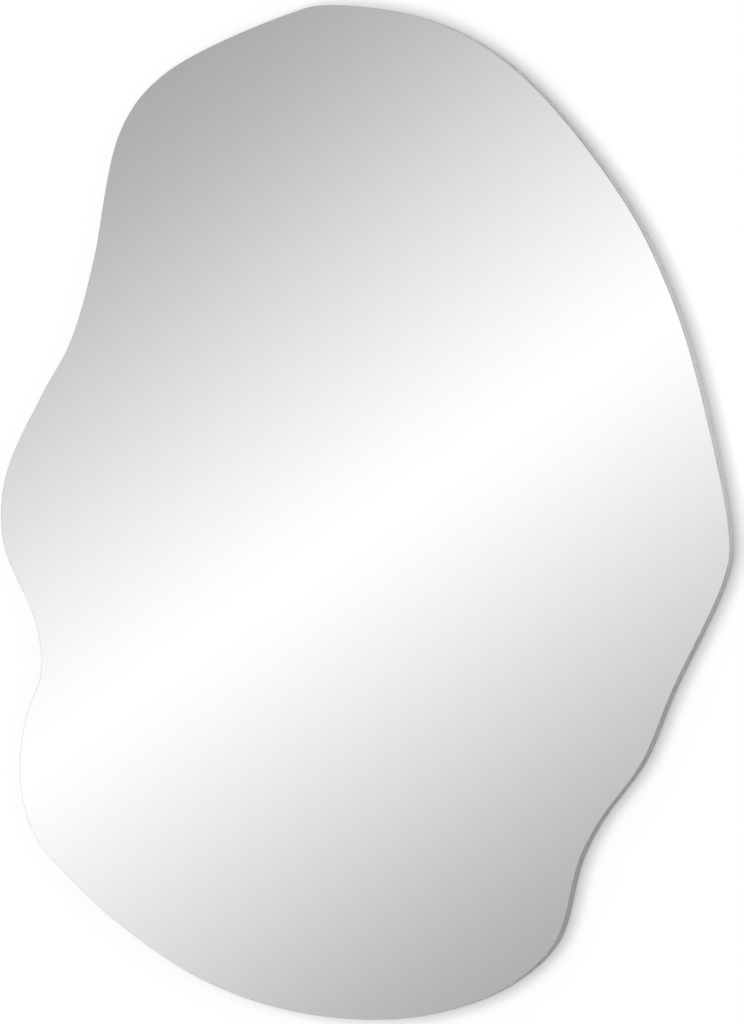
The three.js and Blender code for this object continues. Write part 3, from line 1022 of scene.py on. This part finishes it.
def strip_recipe():
    sizes = {
        "Inset": NUMBER,
        "Back": NUMBER,
        "Width": NUMBER,
        "Thickness": NUMBER,
        "Corner": NUMBER,
        "Seam": NUMBER,
        "Finish": FINISH,
    }
    tree, given = recipe("edge strip", sizes)
    width, thickness = given["Width"], given["Thickness"]
    path = flat_curve(tree, given["Drawing"])
    path = offset(tree, path, given["Inset"] + thickness / 2, given["Back"] + width / 2)
    whole = tree.add("GeometryNodeCurveLength", {}, {"Curve": path})["Length"]
    sockets = {"Curve": path, "Start_001": given["Seam"] / 2, "End_001": whole - given["Seam"] / 2}
    path = tree.add("GeometryNodeTrimCurve", {"mode": "LENGTH"}, sockets)["Curve"]
    along = tree.add("GeometryNodeSplineParameter")["Length"]
    path = measured(tree, path, RUN, along)
    section = rounded_section(tree, thickness, width, given["Corner"], 3)
    place = tree.add("GeometryNodeInputPosition")["Position"]
    section_y = tree.add("ShaderNodeSeparateXYZ", {}, {"Vector": place})["Y"]
    section = measured(tree, section, ACROSS, section_y)
    strip = smoothed(tree, swept(tree, path, section, capped=True), True)
    return finish_recipe(tree, turned(tree, strip, (90, 0, 0)), given["Finish"])


def open_drawing(ring):
    """A ring of points cut open at its lowest point, with that point at both ends."""
    start = int(np.argmin(ring[:, 1]))
    points = np.roll(ring, -start, 0)
    points = np.vstack([points, points[:1]])
    mesh = bpy.data.meshes.new("drawing")
    edges = [(index, index + 1) for index in range(len(points) - 1)]
    mesh.from_pydata([(x, y, 0) for x, y in points], edges, [])
    return mesh


STRIP_INSET = 0.1 * MM  # it ends almost level with the rim of the pane
STRIP_THICKNESS = inset_of("edge_band") + 1 * MM - STRIP_INSET
STRIP_CORNER = 0.3 * MM
STRIP_SEAM = 0.3 * MM
band_low, band_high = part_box("edge_band")
inputs = {
    "Inset": STRIP_INSET,
    "Back": -band_high.y,
    "Width": band_high.y - band_low.y,
    "Thickness": STRIP_THICKNESS,
    "Corner": STRIP_CORNER,
    "Seam": STRIP_SEAM,
    "Finish": FINISHES["foil"],
}
strip = grown("edge_strip", open_drawing(outline), strip_recipe(), inputs)
dress(strip, "panel", "silver_strip", "edge_band")

# %% [markdown]
# ## The two hooked rails
#
# Both rails are lengths of one extruded section: a flat flange to screw on, a short shelf, and a
# hook that stands away from it. One is screwed to the wall, hook up. The other is screwed to the
# board, turned over, and drops behind the first. An extruded section has rounded corners and sawn
# ends with the burr taken off. So the section is drawn with its corner radii, filled, pulled out to
# its length, drilled, and its last sharp edges are eased.

# %% The section
RAIL_THICKNESS = 2 * MM
OUTER_CORNER = 0.7 * MM
INNER_CORNER = 0.35 * MM
FREE_CORNER = 0.4 * MM
CORNER = "corner"

rail_low, rail_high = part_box("wall_rail")
twin_low, twin_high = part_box("panel_rail")
hook_depth = rail_high.z - twin_low.z


def rail_section():
    """The wall rail's section about its middle, with the radius of each corner: out, then up."""
    depth, height = rail_high.y - rail_low.y, rail_high.z - rail_low.z
    back, front = depth / 2, -depth / 2
    low, top = -height / 2, height / 2
    shelf = top - hook_depth
    drawn = [
        (back, low, FREE_CORNER),
        (back, shelf, OUTER_CORNER),
        (front + RAIL_THICKNESS, shelf, INNER_CORNER),
        (front + RAIL_THICKNESS, top, FREE_CORNER),
        (front, top, FREE_CORNER),
        (front, shelf - RAIL_THICKNESS, OUTER_CORNER),
        (back - RAIL_THICKNESS, shelf - RAIL_THICKNESS, OUTER_CORNER),
        (back - RAIL_THICKNESS, low, FREE_CORNER),
    ]
    mesh = closed_drawing([(out, up) for out, up, radius in drawn])
    radii = mesh.attributes.new(CORNER, "FLOAT", "POINT")
    radii.data.foreach_set("value", [radius for out, up, radius in drawn])
    return mesh


# %% Recipe of a rail blank


def rail_recipe():
    sizes = {"Length": NUMBER, "Turn": NUMBER, "Middle": "NodeSocketVector", "Finish": FINISH}
    tree, given = recipe("rail blank", sizes)
    curve = tree.add("GeometryNodeMeshToCurve", {}, {"Mesh": given["Drawing"]})["Curve"]
    radius = tree.add("GeometryNodeInputNamedAttribute", {}, {"Name": CORNER})["Attribute"]
    sockets = {"Curve": curve, "Radius": radius, "Count": 5, "Limit Radius": True}
    curve = tree.add("GeometryNodeFilletCurve", {"mode": "POLY"}, sockets)["Curve"]
    end = filled(tree, curve)
    pull = tree.xyz(0, 0, given["Length"])
    sockets = {"Mesh": end, "Offset": pull, "Offset Scale": 1.0, "Individual": False}
    pulled = tree.add("GeometryNodeExtrudeMesh", {"mode": "FACES"}, sockets)["Mesh"]
    first_end = tree.add("GeometryNodeFlipFaces", {}, {"Mesh": end})["Mesh"]
    bar = welded(tree, joined(tree, pulled, first_end))
    bar = turned(tree, bar, (0, 0, 0), tree.xyz(0, 0, given["Length"] * -0.5))
    bar = smoothed(tree, turned(tree, bar, (90, 0, 90)), True)
    sockets = {"Geometry": bar, "Rotation": tree.xyz(given["Turn"], 0, 0)}
    bar = tree.add("GeometryNodeTransform", {}, sockets)["Geometry"]
    bar = turned(tree, bar, (0, 0, 0), given["Middle"])
    return finish_recipe(tree, bar, given["Finish"])


RAIL = rail_recipe()
RAIL_EASE = 0.12 * MM
WALL_SCREW_HOLE = 2.4 * MM
BOARD_SCREW_HOLE = 2.15 * MM


def grown_rail(name, node, turn, screws, hole_radius):
    """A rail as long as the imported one, with a hole for each of its screws."""
    low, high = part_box(node)
    inputs = {
        "Length": high.x - low.x,
        "Turn": turn,
        "Middle": (low + high) / 2,
        "Finish": FINISHES["aluminium"],
    }
    blank = grown(name, rail_section(), RAIL, inputs)
    flange = high.y if turn == 0 else low.y
    return drilled(blank, middles(screws, flange), hole_radius, 1.5 * RAIL_THICKNESS, RAIL_EASE)


# %% Both rails
wall_screw_nodes = named("wall_screw")
hook_rail = grown_rail("hooked_wall_rail", "wall_rail", 0.0, wall_screw_nodes, WALL_SCREW_HOLE)
dress(hook_rail, "wall_side", "aluminium", "wall_rail")
twin_rail = grown_rail("hooked_panel_rail", "panel_rail", math.pi, rail_screw_nodes, BOARD_SCREW_HOLE)
dress(twin_rail, "panel", "aluminium", "panel_rail")

# %% [markdown]
# ## Turned pieces: bumpers, washers, plugs and screws
#
# These are all round about their own axis, so each is turned, as on a lathe: a profile is spun
# round and its rings are joined. Each profile is written as radius and place along the axis, and
# its corners are eased by short arcs, because a moulded or pressed edge is never knife-sharp.

# %% A lathe
LATHE_SIDES = 64
ARC_STEPS = 4


def eased(profile, radii, closed=True):
    """The profile with each corner rounded by its radius."""
    points = [Vector(point) for point in profile]
    count = len(points)
    found = []
    for index, corner in enumerate(points):
        radius = radii[index]
        if radius == 0 or (not closed and index in (0, count - 1)):
            found.append(corner)
            continue
        before = (points[index - 1] - corner).normalized()
        after = (points[(index + 1) % count] - corner).normalized()
        half = before.angle(after) / 2
        reach = radius / math.tan(half)
        centre = corner + (before + after).normalized() * (radius / math.sin(half))
        first, last = corner + before * reach - centre, corner + after * reach - centre
        sweep = first.angle_signed(last)
        for step in range(ARC_STEPS + 1):
            turn = -sweep * step / ARC_STEPS
            cosine, sine = math.cos(turn), math.sin(turn)
            arm = (first.x * cosine - first.y * sine, first.x * sine + first.y * cosine)
            found.append(centre + Vector(arm))
    return found


def spun(name, rings, closed):
    """A mesh from rings of points; with closed the last ring joins the first, or else both ends
    shrink to a point on the axis."""
    sides = len(rings[0])
    shape = bmesh.new()
    rows = [[shape.verts.new(point) for point in ring] for ring in rings]
    pairs = list(zip(rows, rows[1:] + rows[:1]))
    if not closed:
        pairs.pop()
    for row, following in pairs:
        for side in range(sides):
            after = (side + 1) % sides
            shape.faces.new((row[side], row[after], following[after], following[side]))
    bmesh.ops.remove_doubles(shape, verts=shape.verts, dist=WELD)
    if not closed:
        bmesh.ops.holes_fill(shape, edges=shape.edges, sides=sides)
    if shape.calc_volume(signed=True) < 0:
        bmesh.ops.reverse_faces(shape, faces=shape.faces)
    for face in shape.faces:
        face.smooth = True
    mesh = bpy.data.meshes.new(name)
    shape.to_mesh(mesh)
    shape.free()
    return mesh


def lathed(name, profile, closed=True, sides=LATHE_SIDES):
    """The profile of radius and place spun about the y axis."""
    turns = [2 * math.pi * side / sides for side in range(sides)]
    rings = [[(r * math.cos(t), y, r * math.sin(t)) for t in turns] for r, y in profile]
    return spun(name, rings, closed)


# %% [markdown]
# Copies of one model stand in a row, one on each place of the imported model. The recipe puts the
# model on the places, and turns it about its own axis: nobody lines up the slots of screws, so each
# gets a random turn. The seed is fixed, so the turns are the same each time.

# %% Recipe of a row of copies
VECTOR = "NodeSocketVector"


def row_recipe():
    sizes = {"Model": MODEL, "Facing": NUMBER, "Turn": NUMBER, "Seed": COUNT, "Finish": FINISH}
    tree, given = recipe("row of copies", sizes)
    places = tree.add("GeometryNodeMeshToPoints", {}, {"Mesh": given["Drawing"]})["Points"]
    sockets = {"Min_001": 0.0, "Max_001": given["Turn"], "Seed": given["Seed"]}
    spin = tree.add("FunctionNodeRandomValue", {"data_type": "FLOAT"}, sockets)["Value"]
    sockets = {
        "Points": places,
        "Instance": shape_of(tree, given["Model"]),
        "Rotation": tree.xyz(0, spin, given["Facing"]),
    }
    copies = tree.add("GeometryNodeInstanceOnPoints", {}, sockets)["Instances"]
    return finish_recipe(tree, copies, given["Finish"])


ROW = row_recipe()
OUTWARDS = 0.0  # the model's own y runs into the wall
INWARDS = math.pi  # turned round, so that it runs out into the board


def row_of(name, model, places, facing, finish, seed=0):
    """Copies of a mesh at the places, each with its own turn when there is a seed."""
    helper = bpy.data.objects.new("model", model)
    bpy.context.scene.collection.objects.link(helper)
    drawing = bpy.data.meshes.new("places")
    drawing.from_pydata([tuple(place) for place in places], [], [])
    inputs = {
        "Model": helper,
        "Facing": facing,
        "Turn": 2 * math.pi if seed else 0.0,
        "Seed": seed,
        "Finish": finish,
    }
    row = grown(name, drawing, ROW, inputs)
    bpy.data.objects.remove(helper)
    return row


# %% Bumpers and washers
BUMPER_TAPER = 1.5 * MM
BUMPER_RECESS = 5.5 * MM
BORE = 2.15 * MM
RUBBER_EDGE = 0.6 * MM
WASHER_EDGE = 0.25 * MM

bumper_nodes = ["bumper_left", "bumper_right"]
washer_nodes = ["bumper_left_washer", "bumper_right_washer"]
rubber_low, rubber_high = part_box("bumper_left")
washer_low, washer_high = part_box("bumper_left_washer")


def bumper_model():
    """A tapered rubber ring, board end at 0, with a recess that the washer and screw sit in."""
    radius = (rubber_high.x - rubber_low.x) / 2
    height = rubber_high.y - rubber_low.y
    floor = washer_low.y - rubber_low.y
    profile = [
        (BORE, 0),
        (radius, 0),
        (radius - BUMPER_TAPER, height),
        (BUMPER_RECESS, height),
        (BUMPER_RECESS, floor),
        (BORE, floor),
    ]
    edges = [0, RUBBER_EDGE / 3, RUBBER_EDGE, RUBBER_EDGE / 2, RUBBER_EDGE / 4, RUBBER_EDGE / 3]
    return lathed("bumper", eased(profile, edges))


def washer_model():
    radius = (washer_high.x - washer_low.x) / 2
    height = washer_high.y - washer_low.y
    profile = [(BORE, 0), (radius, 0), (radius, height), (BORE, height)]
    return lathed("washer", eased(profile, [0, WASHER_EDGE / 2, WASHER_EDGE, WASHER_EDGE]))


rubber, zinc = FINISHES["rubber"], FINISHES["zinc"]
feet = row_of("rubber_bumpers", bumper_model(), middles(bumper_nodes, rubber_low.y), OUTWARDS, rubber)
dress(feet, "panel", "black_rubber", *bumper_nodes)
rings = row_of("bumper_washers", washer_model(), middles(washer_nodes, washer_low.y), OUTWARDS, zinc)
dress(rings, "panel", "zinced_steel", *washer_nodes)

# %% [markdown]
# ## Screws with real threads
#
# A screw is one turned surface, from the dome of its head down the shank to its point. The thread
# needs no second piece: at each point of the shank, the radius depends on how far along and how far
# round it lies, and where the two agree it rises to the crest. The cross in the head is then cut
# with a tapered punch, as the real one is pressed in.

# %% A screw
SCREW_SIDES = 28
ROWS_PER_PITCH = 6
CORE_SHARE = 0.66  # the core's radius, in thread radii
CREST_SHARE = 0.32  # how much of the pitch the crest takes
PLAIN_NECK = 1.6 * MM
POINT_SHARE = 2.6  # the length of the tapered point, in thread radii
PUNCH_SPAN = 1.2  # the cross, in head radii
PUNCH_BLADE = 0.3
PUNCH_TAPER = 0.45
PUNCH_DEPTH = 0.62  # in head heights


def thread_radius(along, turn, radius, length, pitch):
    """The radius of the shank at a place along it and a turn round it."""
    core = radius * CORE_SHARE
    phase = (along / pitch - turn / (2 * math.pi)) % 1
    rise = max(0.0, 1 - abs(phase - 0.5) / (CREST_SHARE / 2 + 0.1))
    grown_in = min(1.0, max(0.0, (along - PLAIN_NECK) / pitch))
    tip = min(1.0, (length - along) / (POINT_SHARE * radius))
    height = (radius - core) * min(1.0, rise * 1.5) * grown_in
    return (core + height) * tip**0.8


def screw_rings(radius, length, head_radius, head_height, pitch):
    turns = [2 * math.pi * side / SCREW_SIDES for side in range(SCREW_SIDES)]
    rings = []
    for step in range(9):
        arc = math.pi / 2 * step / 8
        r, y = head_radius * math.sin(arc) ** 0.8, -head_height * math.cos(arc) ** 0.9
        rings.append([(r * math.cos(t), min(y, -0.06 * MM), r * math.sin(t)) for t in turns])
    rim = head_radius * 0.97
    rings.append([(rim * math.cos(t), 0, rim * math.sin(t)) for t in turns])
    rows = int((length - 0.01 * MM) / pitch * ROWS_PER_PITCH)
    for row in range(rows + 1):
        y = (length - 0.02 * MM) * row / rows
        radii = [thread_radius(y, t, radius, length, pitch) for t in turns]
        rings.append([(r * math.cos(t), y, r * math.sin(t)) for r, t in zip(radii, turns)])
    rings.append([(0, length, 0)] * SCREW_SIDES)
    return rings


def punch(head_radius, head_height):
    """A cross with tapered blades, as a solid to cut with."""
    span, blade = head_radius * PUNCH_SPAN / 2, head_radius * PUNCH_BLADE / 2
    depth = head_height * PUNCH_DEPTH
    corners = [(blade, blade), (span, blade), (span, -blade)]
    cross = []
    for quarter in range(4):
        turn = -math.pi / 2 * quarter
        cosine, sine = math.cos(turn), math.sin(turn)
        cross += [(x * cosine - z * sine, x * sine + z * cosine) for x, z in corners]
    levels = [(-2 * head_height, 1.15), (-head_height, 1.0), (depth - head_height, PUNCH_TAPER)]
    shape = bmesh.new()
    rows = [[shape.verts.new((x * k, y, z * k)) for x, z in cross] for y, k in levels]
    for row, following in zip(rows, rows[1:]):
        for index in range(len(cross)):
            after = (index + 1) % len(cross)
            shape.faces.new((row[index], row[after], following[after], following[index]))
    shape.faces.new(rows[0])
    shape.faces.new(rows[-1][::-1])
    bmesh.ops.recalc_face_normals(shape, faces=shape.faces)
    mesh = bpy.data.meshes.new("punch")
    shape.to_mesh(mesh)
    shape.free()
    return mesh


def cut_recipe():
    tree, given = recipe("cut by a tool", {"Tool": MODEL})
    settings = {"operation": "DIFFERENCE", "solver": "EXACT"}
    sockets = {"Mesh 1": given["Drawing"], "Mesh 2": shape_of(tree, given["Tool"])}
    return finish_recipe(tree, tree.add("GeometryNodeMeshBoolean", settings, sockets)["Mesh"])


CUT = cut_recipe()


def cut_by(name, blank, tool):
    """The blank mesh with the tool mesh taken away."""
    helper = bpy.data.objects.new("tool", tool)
    bpy.context.scene.collection.objects.link(helper)
    piece = grown(name, blank, CUT, {"Tool": helper})
    mesh = piece.data
    bpy.data.objects.remove(helper)
    bpy.data.objects.remove(piece)
    return mesh


def screw_model(node, seat, radius, pitch, into_wall):
    """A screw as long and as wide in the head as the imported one, its head's underside at 0."""
    low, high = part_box(node)
    head_radius = (high.x - low.x) / 2
    head_height, length = (seat - low.y, high.y - seat) if into_wall else (high.y - seat, seat - low.y)
    rings = screw_rings(radius, length, head_radius, head_height, pitch)
    blank = spun("screw", rings, closed=False)
    return cut_by("screw", blank, punch(head_radius, head_height))


# %% The three kinds of screw
WALL_SCREW_RADIUS, WALL_SCREW_PITCH = 2 * MM, 1.8 * MM
BOARD_SCREW_RADIUS, BOARD_SCREW_PITCH = 1.75 * MM, 1.6 * MM

wall_seat = rail_high.y - RAIL_THICKNESS
model = screw_model("wall_screw_1", wall_seat, WALL_SCREW_RADIUS, WALL_SCREW_PITCH, True)
wall_screws = row_of("wall_screws", model, middles(wall_screw_nodes, wall_seat), OUTWARDS, zinc, 3)
dress(wall_screws, "wall_side", "zinced_steel", *wall_screw_nodes)

board_screws = {
    "panel_rail_screws": (rail_screw_nodes, twin_low.y + RAIL_THICKNESS, 5),
    "bumper_screws": (bumper_screw_nodes, washer_high.y, 8),
}
for name, (nodes, seat, seed) in board_screws.items():
    model = screw_model(nodes[0], seat, BOARD_SCREW_RADIUS, BOARD_SCREW_PITCH, False)
    screws = row_of(name, model, middles(nodes, seat), INWARDS, zinc, seed)
    dress(screws, "panel", "zinced_steel", *nodes)

# %% [markdown]
# ## Wall plugs
#
# A plug is a nylon sleeve with a plain mouth, then barbs that lean back so that it can't be pulled
# out, and a slit through both walls that lets the screw spread it. The barbs are a saw-tooth in the
# radius, and the slit is cut by a thin box.

# %% A wall plug
PLUG_BORE = 2.2 * MM
PLUG_WAIST = 0.35 * MM  # how far the sleeve between the barbs lies below their tips
PLUG_MOUTH = 5 * MM
PLUG_SLIT = 1 * MM
PLUG_SOLID = 6 * MM  # the unslit length at the mouth
BARB_COUNT = 8
PLUG_TIP = 3 * MM  # the tapered length at the far end

plug_nodes = named("wall_plug")
plug_low, plug_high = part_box(plug_nodes[0])


def plug_profile(radius, length):
    """Out along the barbs from the mouth, then back down the bore."""
    waist = radius - PLUG_WAIST
    barb = (length - PLUG_MOUTH - PLUG_TIP) / BARB_COUNT
    points = [(radius - 0.15 * MM, 0), (radius, 0.15 * MM), (radius, PLUG_MOUTH)]
    for index in range(BARB_COUNT):
        start = PLUG_MOUTH + barb * index
        points += [(waist, start + 0.1 * MM), (waist, start + 0.2 * barb), (radius, start + barb)]
    points += [(waist, length - PLUG_TIP + 0.1 * MM), (PLUG_BORE + 0.3 * MM, length)]
    points += [(PLUG_BORE, length), (PLUG_BORE, 0)]
    return points


def plug_model():
    length = plug_high.y - plug_low.y
    radius = (plug_high.x - plug_low.x) / 2
    sleeve = lathed("plug", plug_profile(radius, length), sides=40)
    slit = bmesh.new()
    bmesh.ops.create_cube(slit, size=1)
    size = Vector((3 * radius, length, PLUG_SLIT))
    for corner in slit.verts:
        corner.co = corner.co * size + Vector((0, length / 2 + PLUG_SOLID, 0))
    tool = bpy.data.meshes.new("slit")
    slit.to_mesh(tool)
    slit.free()
    return cut_by("plug", sleeve, tool)


plugs = row_of("nylon_plugs", plug_model(), middles(plug_nodes, plug_low.y), OUTWARDS, FINISHES["nylon"])
dress(plugs, "wall_side", "grey_nylon", *plug_nodes)

# %% [markdown]
# ## The room
#
# The mirror hangs on a white wall above a pale floor. Both are stage, not part of the object. The
# wall is drawn on its front side only, so that the back of the mirror can be looked at as well. It
# takes the mirror's shadow, and its own white comes partly from light and partly from the surface
# itself, so the shadow stays as soft and as pale as on a real white wall.

# %% Wall and floor
WALL_REACH = 6.0
FLOOR_DROP = 0.9  # from the lowest point of the mirror
WHITE_PAINT = 0.83
WALL_GLOW = 1.3  # the white that the camera sees in place of part of the paint
WALL_GLOW_SHARE = 0.33  # the more of it, the paler the shadow
FLOOR_GLOW = 1.0
FLOOR_GLOW_SHARE = 0.5


def stage_plane(name, corners, material):
    mesh = bpy.data.meshes.new(name)
    mesh.from_pydata(corners, [], [(0, 1, 2, 3)])
    plane = bpy.data.objects.new(name, mesh)
    mesh.materials.append(material)
    bpy.context.scene.collection.objects.link(plane)
    plane.visible_shadow = False
    plane.visible_diffuse = False
    return plane


def one_sided_white(name, glow, share):
    """White paint, seen from its front only. To the camera, a share of it glows by itself."""
    material, tree, place = new_finish(name)
    path = tree.add("ShaderNodeLightPath")
    behind = tree.add("ShaderNodeNewGeometry")["Backfacing"]
    color = (WHITE_PAINT, WHITE_PAINT, WHITE_PAINT, 1)
    paint = tree.add("ShaderNodeBsdfDiffuse", {}, {"Color": color})["BSDF"]
    glowing = tree.add("ShaderNodeEmission", {}, {"Strength": glow})["Emission"]
    front = tree.shaders(path["Is Camera Ray"] * share, paint, glowing)
    clear = tree.add("ShaderNodeBsdfTransparent")["BSDF"]
    shader = tree.shaders(behind, front, clear)
    tree.add("ShaderNodeOutputMaterial", {}, {"Surface": shader})
    return material


floor_z = cad_low.z - FLOOR_DROP
reach = WALL_REACH
wall_corners = [(-reach, 0, floor_z), (reach, 0, floor_z), (reach, 0, reach), (-reach, 0, reach)]
wall_finish = one_sided_white("wall paint", WALL_GLOW, WALL_GLOW_SHARE)
wall = stage_plane("wall", wall_corners, wall_finish)
floor_corners = [
    (-reach, -2 * reach, floor_z),
    (reach, -2 * reach, floor_z),
    (reach, 2 * reach, floor_z),
    (-reach, 2 * reach, floor_z),
]
floor_finish = one_sided_white("floor paint", FLOOR_GLOW, FLOOR_GLOW_SHARE)
floor = stage_plane("floor", floor_corners, floor_finish)

# %% [markdown]
# The gap behind the panel is narrow and dark. The wall here lets light through to the back of the
# mirror, for whoever looks from behind, so the back is bright and would tint the shadow on the wall.
# A dark card just behind the panel stops that. Only light on its way from the wall meets it.

# %% The dark gap
GAP_INSET = 1 * MM
GAP_CLEARANCE = 0.05 * MM


def dark_card_finish():
    material, tree, place = new_finish("dark card")
    behind = tree.add("ShaderNodeNewGeometry")["Backfacing"]
    dark = tree.add("ShaderNodeBsdfDiffuse", {}, {"Color": (0, 0, 0, 1)})["BSDF"]
    clear = tree.add("ShaderNodeBsdfTransparent")["BSDF"]
    shader = tree.shaders(behind, dark, clear)
    tree.add("ShaderNodeOutputMaterial", {}, {"Surface": shader})
    return material


def dark_card():
    """A card in the outline's shape that faces the wall, right behind the strip's back edge."""
    nearer = np.roll(outline, -1, 0) - np.roll(outline, 1, 0)
    inwards = np.stack([-nearer[:, 1], nearer[:, 0]], 1) / np.linalg.norm(nearer, axis=1)[:, None]
    ring = outline + GAP_INSET * inwards
    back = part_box("edge_band")[1].y + GAP_CLEARANCE
    corners = [(x, back, z) for x, z in ring[::-1]]
    mesh = bpy.data.meshes.new("dark_card")
    mesh.from_pydata(corners, [], [tuple(range(len(corners)))])
    mesh.materials.append(dark_card_finish())
    card = bpy.data.objects.new("dark_card", mesh)
    bpy.context.scene.collection.objects.link(card)
    card.visible_camera = False
    card.visible_glossy = False
    card.visible_transmission = False
    card.visible_shadow = False
    print("dark card faces", [round(c, 2) for c in mesh.polygons[0].normal])


dark_card()

# %% [markdown]
# ## What the mirror reflects
#
# A mirror has no look of its own: it shows what stands in front of it. The slanting bright band is
# the reflection of a large light sheet that is bright along one slanting line and falls off evenly
# to both sides. So a wide sheet stands 1.5 m in front of the pane, seen in reflections only. Its
# light is a formula of the distance from the slanting line. It is folded, so that the band comes
# again further out, and the mirror shows a soft band from any side.

# %% The light sheet
SHEET_DISTANCE = 1.5
BAND_SLOPE = math.radians(34.8)  # how steeply the bright line climbs on the pane
BAND_ABOVE_AIM = -7.2 * MM  # where it crosses the upright line through the aim
BAND_HALF_SPACING = 0.445
BAND_FALL = 2.08  # the loss of light for each metre on the pane
BAND_SOFTNESS = 25 * MM  # how wide the crest of the band is
BAND_FLOOR = 0.36
BAND_FLOOR_SOFTNESS = 0.35
SILVER_LOSS = 0.97  # what the pane gives back


def light_sheet_finish(camera_place, pane_y):
    """Light by the place on the pane where the camera sees this point of the sheet."""
    material, tree, place = new_finish("light sheet")
    seen_from = Vector((camera_place.x, 2 * pane_y - camera_place.y, camera_place.z))
    share = (pane_y - seen_from.y) / (-SHEET_DISTANCE - seen_from.y)
    on_pane = tree.vector("SCALE", tree.vector("SUBTRACT", place, tuple(seen_from)), share)
    on_pane = tree.vector("ADD", on_pane, tuple(seen_from - aim))
    across = (math.sin(BAND_SLOPE), 0.0, -math.cos(BAND_SLOPE))
    away = tree.vector("DOT_PRODUCT", on_pane, across) + BAND_ABOVE_AIM * math.cos(BAND_SLOPE)
    folded = tree.maths("PINGPONG", away, BAND_HALF_SPACING)
    slope = tree.maths("SQRT", folded * folded + BAND_SOFTNESS**2) - BAND_SOFTNESS
    light = 1 - slope * BAND_FALL
    settings = {"operation": "SMOOTH_MAX"}
    sockets = {0: light, 1: BAND_FLOOR, 2: BAND_FLOOR_SOFTNESS}
    light = tree.add("ShaderNodeMath", settings, sockets)[0]
    glow = tree.add("ShaderNodeEmission", {}, {"Strength": light / SILVER_LOSS})["Emission"]
    tree.add("ShaderNodeOutputMaterial", {}, {"Surface": glow})
    return material


sheet_corners = [
    (-reach, -SHEET_DISTANCE, floor_z),
    (-reach, -SHEET_DISTANCE, reach),
    (reach, -SHEET_DISTANCE, reach),
    (reach, -SHEET_DISTANCE, floor_z),
]
sheet_finish = light_sheet_finish(camera.location, cad_low.y)
light_sheet = stage_plane("light_sheet", sheet_corners, sheet_finish)
light_sheet.visible_camera = False

# %% [markdown]
# ## Light
#
# One soft lamp stands in front, a little to the left, so the shadow falls to the right of the
# mirror and is narrow and soft. The rest is even light from all around. Two lamps behind the wall
# light the back of the mirror for someone who looks from there. They can't reach the front.

# %% Lamps and sky
KEY_DISTANCE = 5.0
KEY_TURN = math.radians(-5.2)
KEY_SIZE = 1.94
KEY_LEVEL = 0.7  # a lamp at level 1 lights a white surface that faces it to full white
SKY_LEVEL = 0.52
SKY_GROUND_SHARE = 0.9  # how bright the ground side is against the sky side
SIDE_LEVEL = 1.05
SIDE_DISTANCE = 0.24
SIDE_SIZE = 0.2
SIDE_BELOW_TOP = 0.205


def soft_lamp(name, place, target, size, level, glossy=True):
    """A square lamp that lights a surface facing it at the target by level."""
    data = bpy.data.lights.new(name, "AREA")
    data.shape = "SQUARE"
    data.size = size
    distance = (place - target).length
    data.energy = level * math.pi**2 * distance**2 * (1 + (size / distance) ** 2 / 6)
    lamp = bpy.data.objects.new(name, data)
    bpy.context.scene.collection.objects.link(lamp)
    lamp.location = place
    lamp.rotation_euler = (target - place).to_track_quat("-Z", "Y").to_euler()
    lamp.visible_glossy = glossy
    lamp.visible_camera = False
    return lamp


def light_only(lamp, pieces):
    """Keeps a lamp off everything else."""
    lit = bpy.data.collections.new("lit by the " + lamp.name + " lamp")
    for piece in pieces:
        lit.objects.link(piece)
    lamp.light_linking.receiver_collection = lit


def build_sky():
    """White to the eye; to the surfaces an even light, a little weaker from below."""
    world = bpy.data.worlds.new("studio")
    world.use_nodes = True
    world.node_tree.nodes.clear()
    bpy.context.scene.world = world
    tree = Tree(world.node_tree)
    path = tree.add("ShaderNodeLightPath")
    ray = tree.add("ShaderNodeTexCoord")["Generated"]
    up = tree.add("ShaderNodeSeparateXYZ", {}, {"Vector": ray})["Z"]
    share = tree.maths("ADD", up * 0.5, 0.5, clamp=True)
    level = SKY_LEVEL * (SKY_GROUND_SHARE + share * (1 - SKY_GROUND_SHARE))
    seen = tree.maths("MAXIMUM", path["Is Camera Ray"], path["Is Transmission Ray"])
    seen = tree.maths("MAXIMUM", seen, path["Is Glossy Ray"])
    strength = level + seen * (1 - level)
    glow = tree.add("ShaderNodeBackground", {}, {"Strength": strength})["Background"]
    tree.add("ShaderNodeOutputWorld", {}, {"Surface": glow})


build_sky()
from_left = Vector((math.sin(KEY_TURN), -math.cos(KEY_TURN), 0))
soft_lamp("key", aim + KEY_DISTANCE * from_left, aim, KEY_SIZE, KEY_LEVEL, glossy=False)
strip_middle = Vector((cad_high.x, -0.015, cad_high.z - SIDE_BELOW_TOP))
side_place = strip_middle + Vector((SIDE_DISTANCE, -0.1, 0))
side_lamp = soft_lamp("side", side_place, strip_middle, SIDE_SIZE, SIDE_LEVEL, glossy=False)
light_only(side_lamp, dressed)
back_middle = Vector((middle.x, 0, middle.z))
soft_lamp("high back", back_middle + Vector((0.15, 1.5, 1.1)), back_middle, 0.8, 0.45)
soft_lamp("low back", back_middle + Vector((-0.2, 1.9, -0.5)), back_middle, 0.5, 0.2)

view = bpy.context.scene.view_settings
view.view_transform = "Standard"
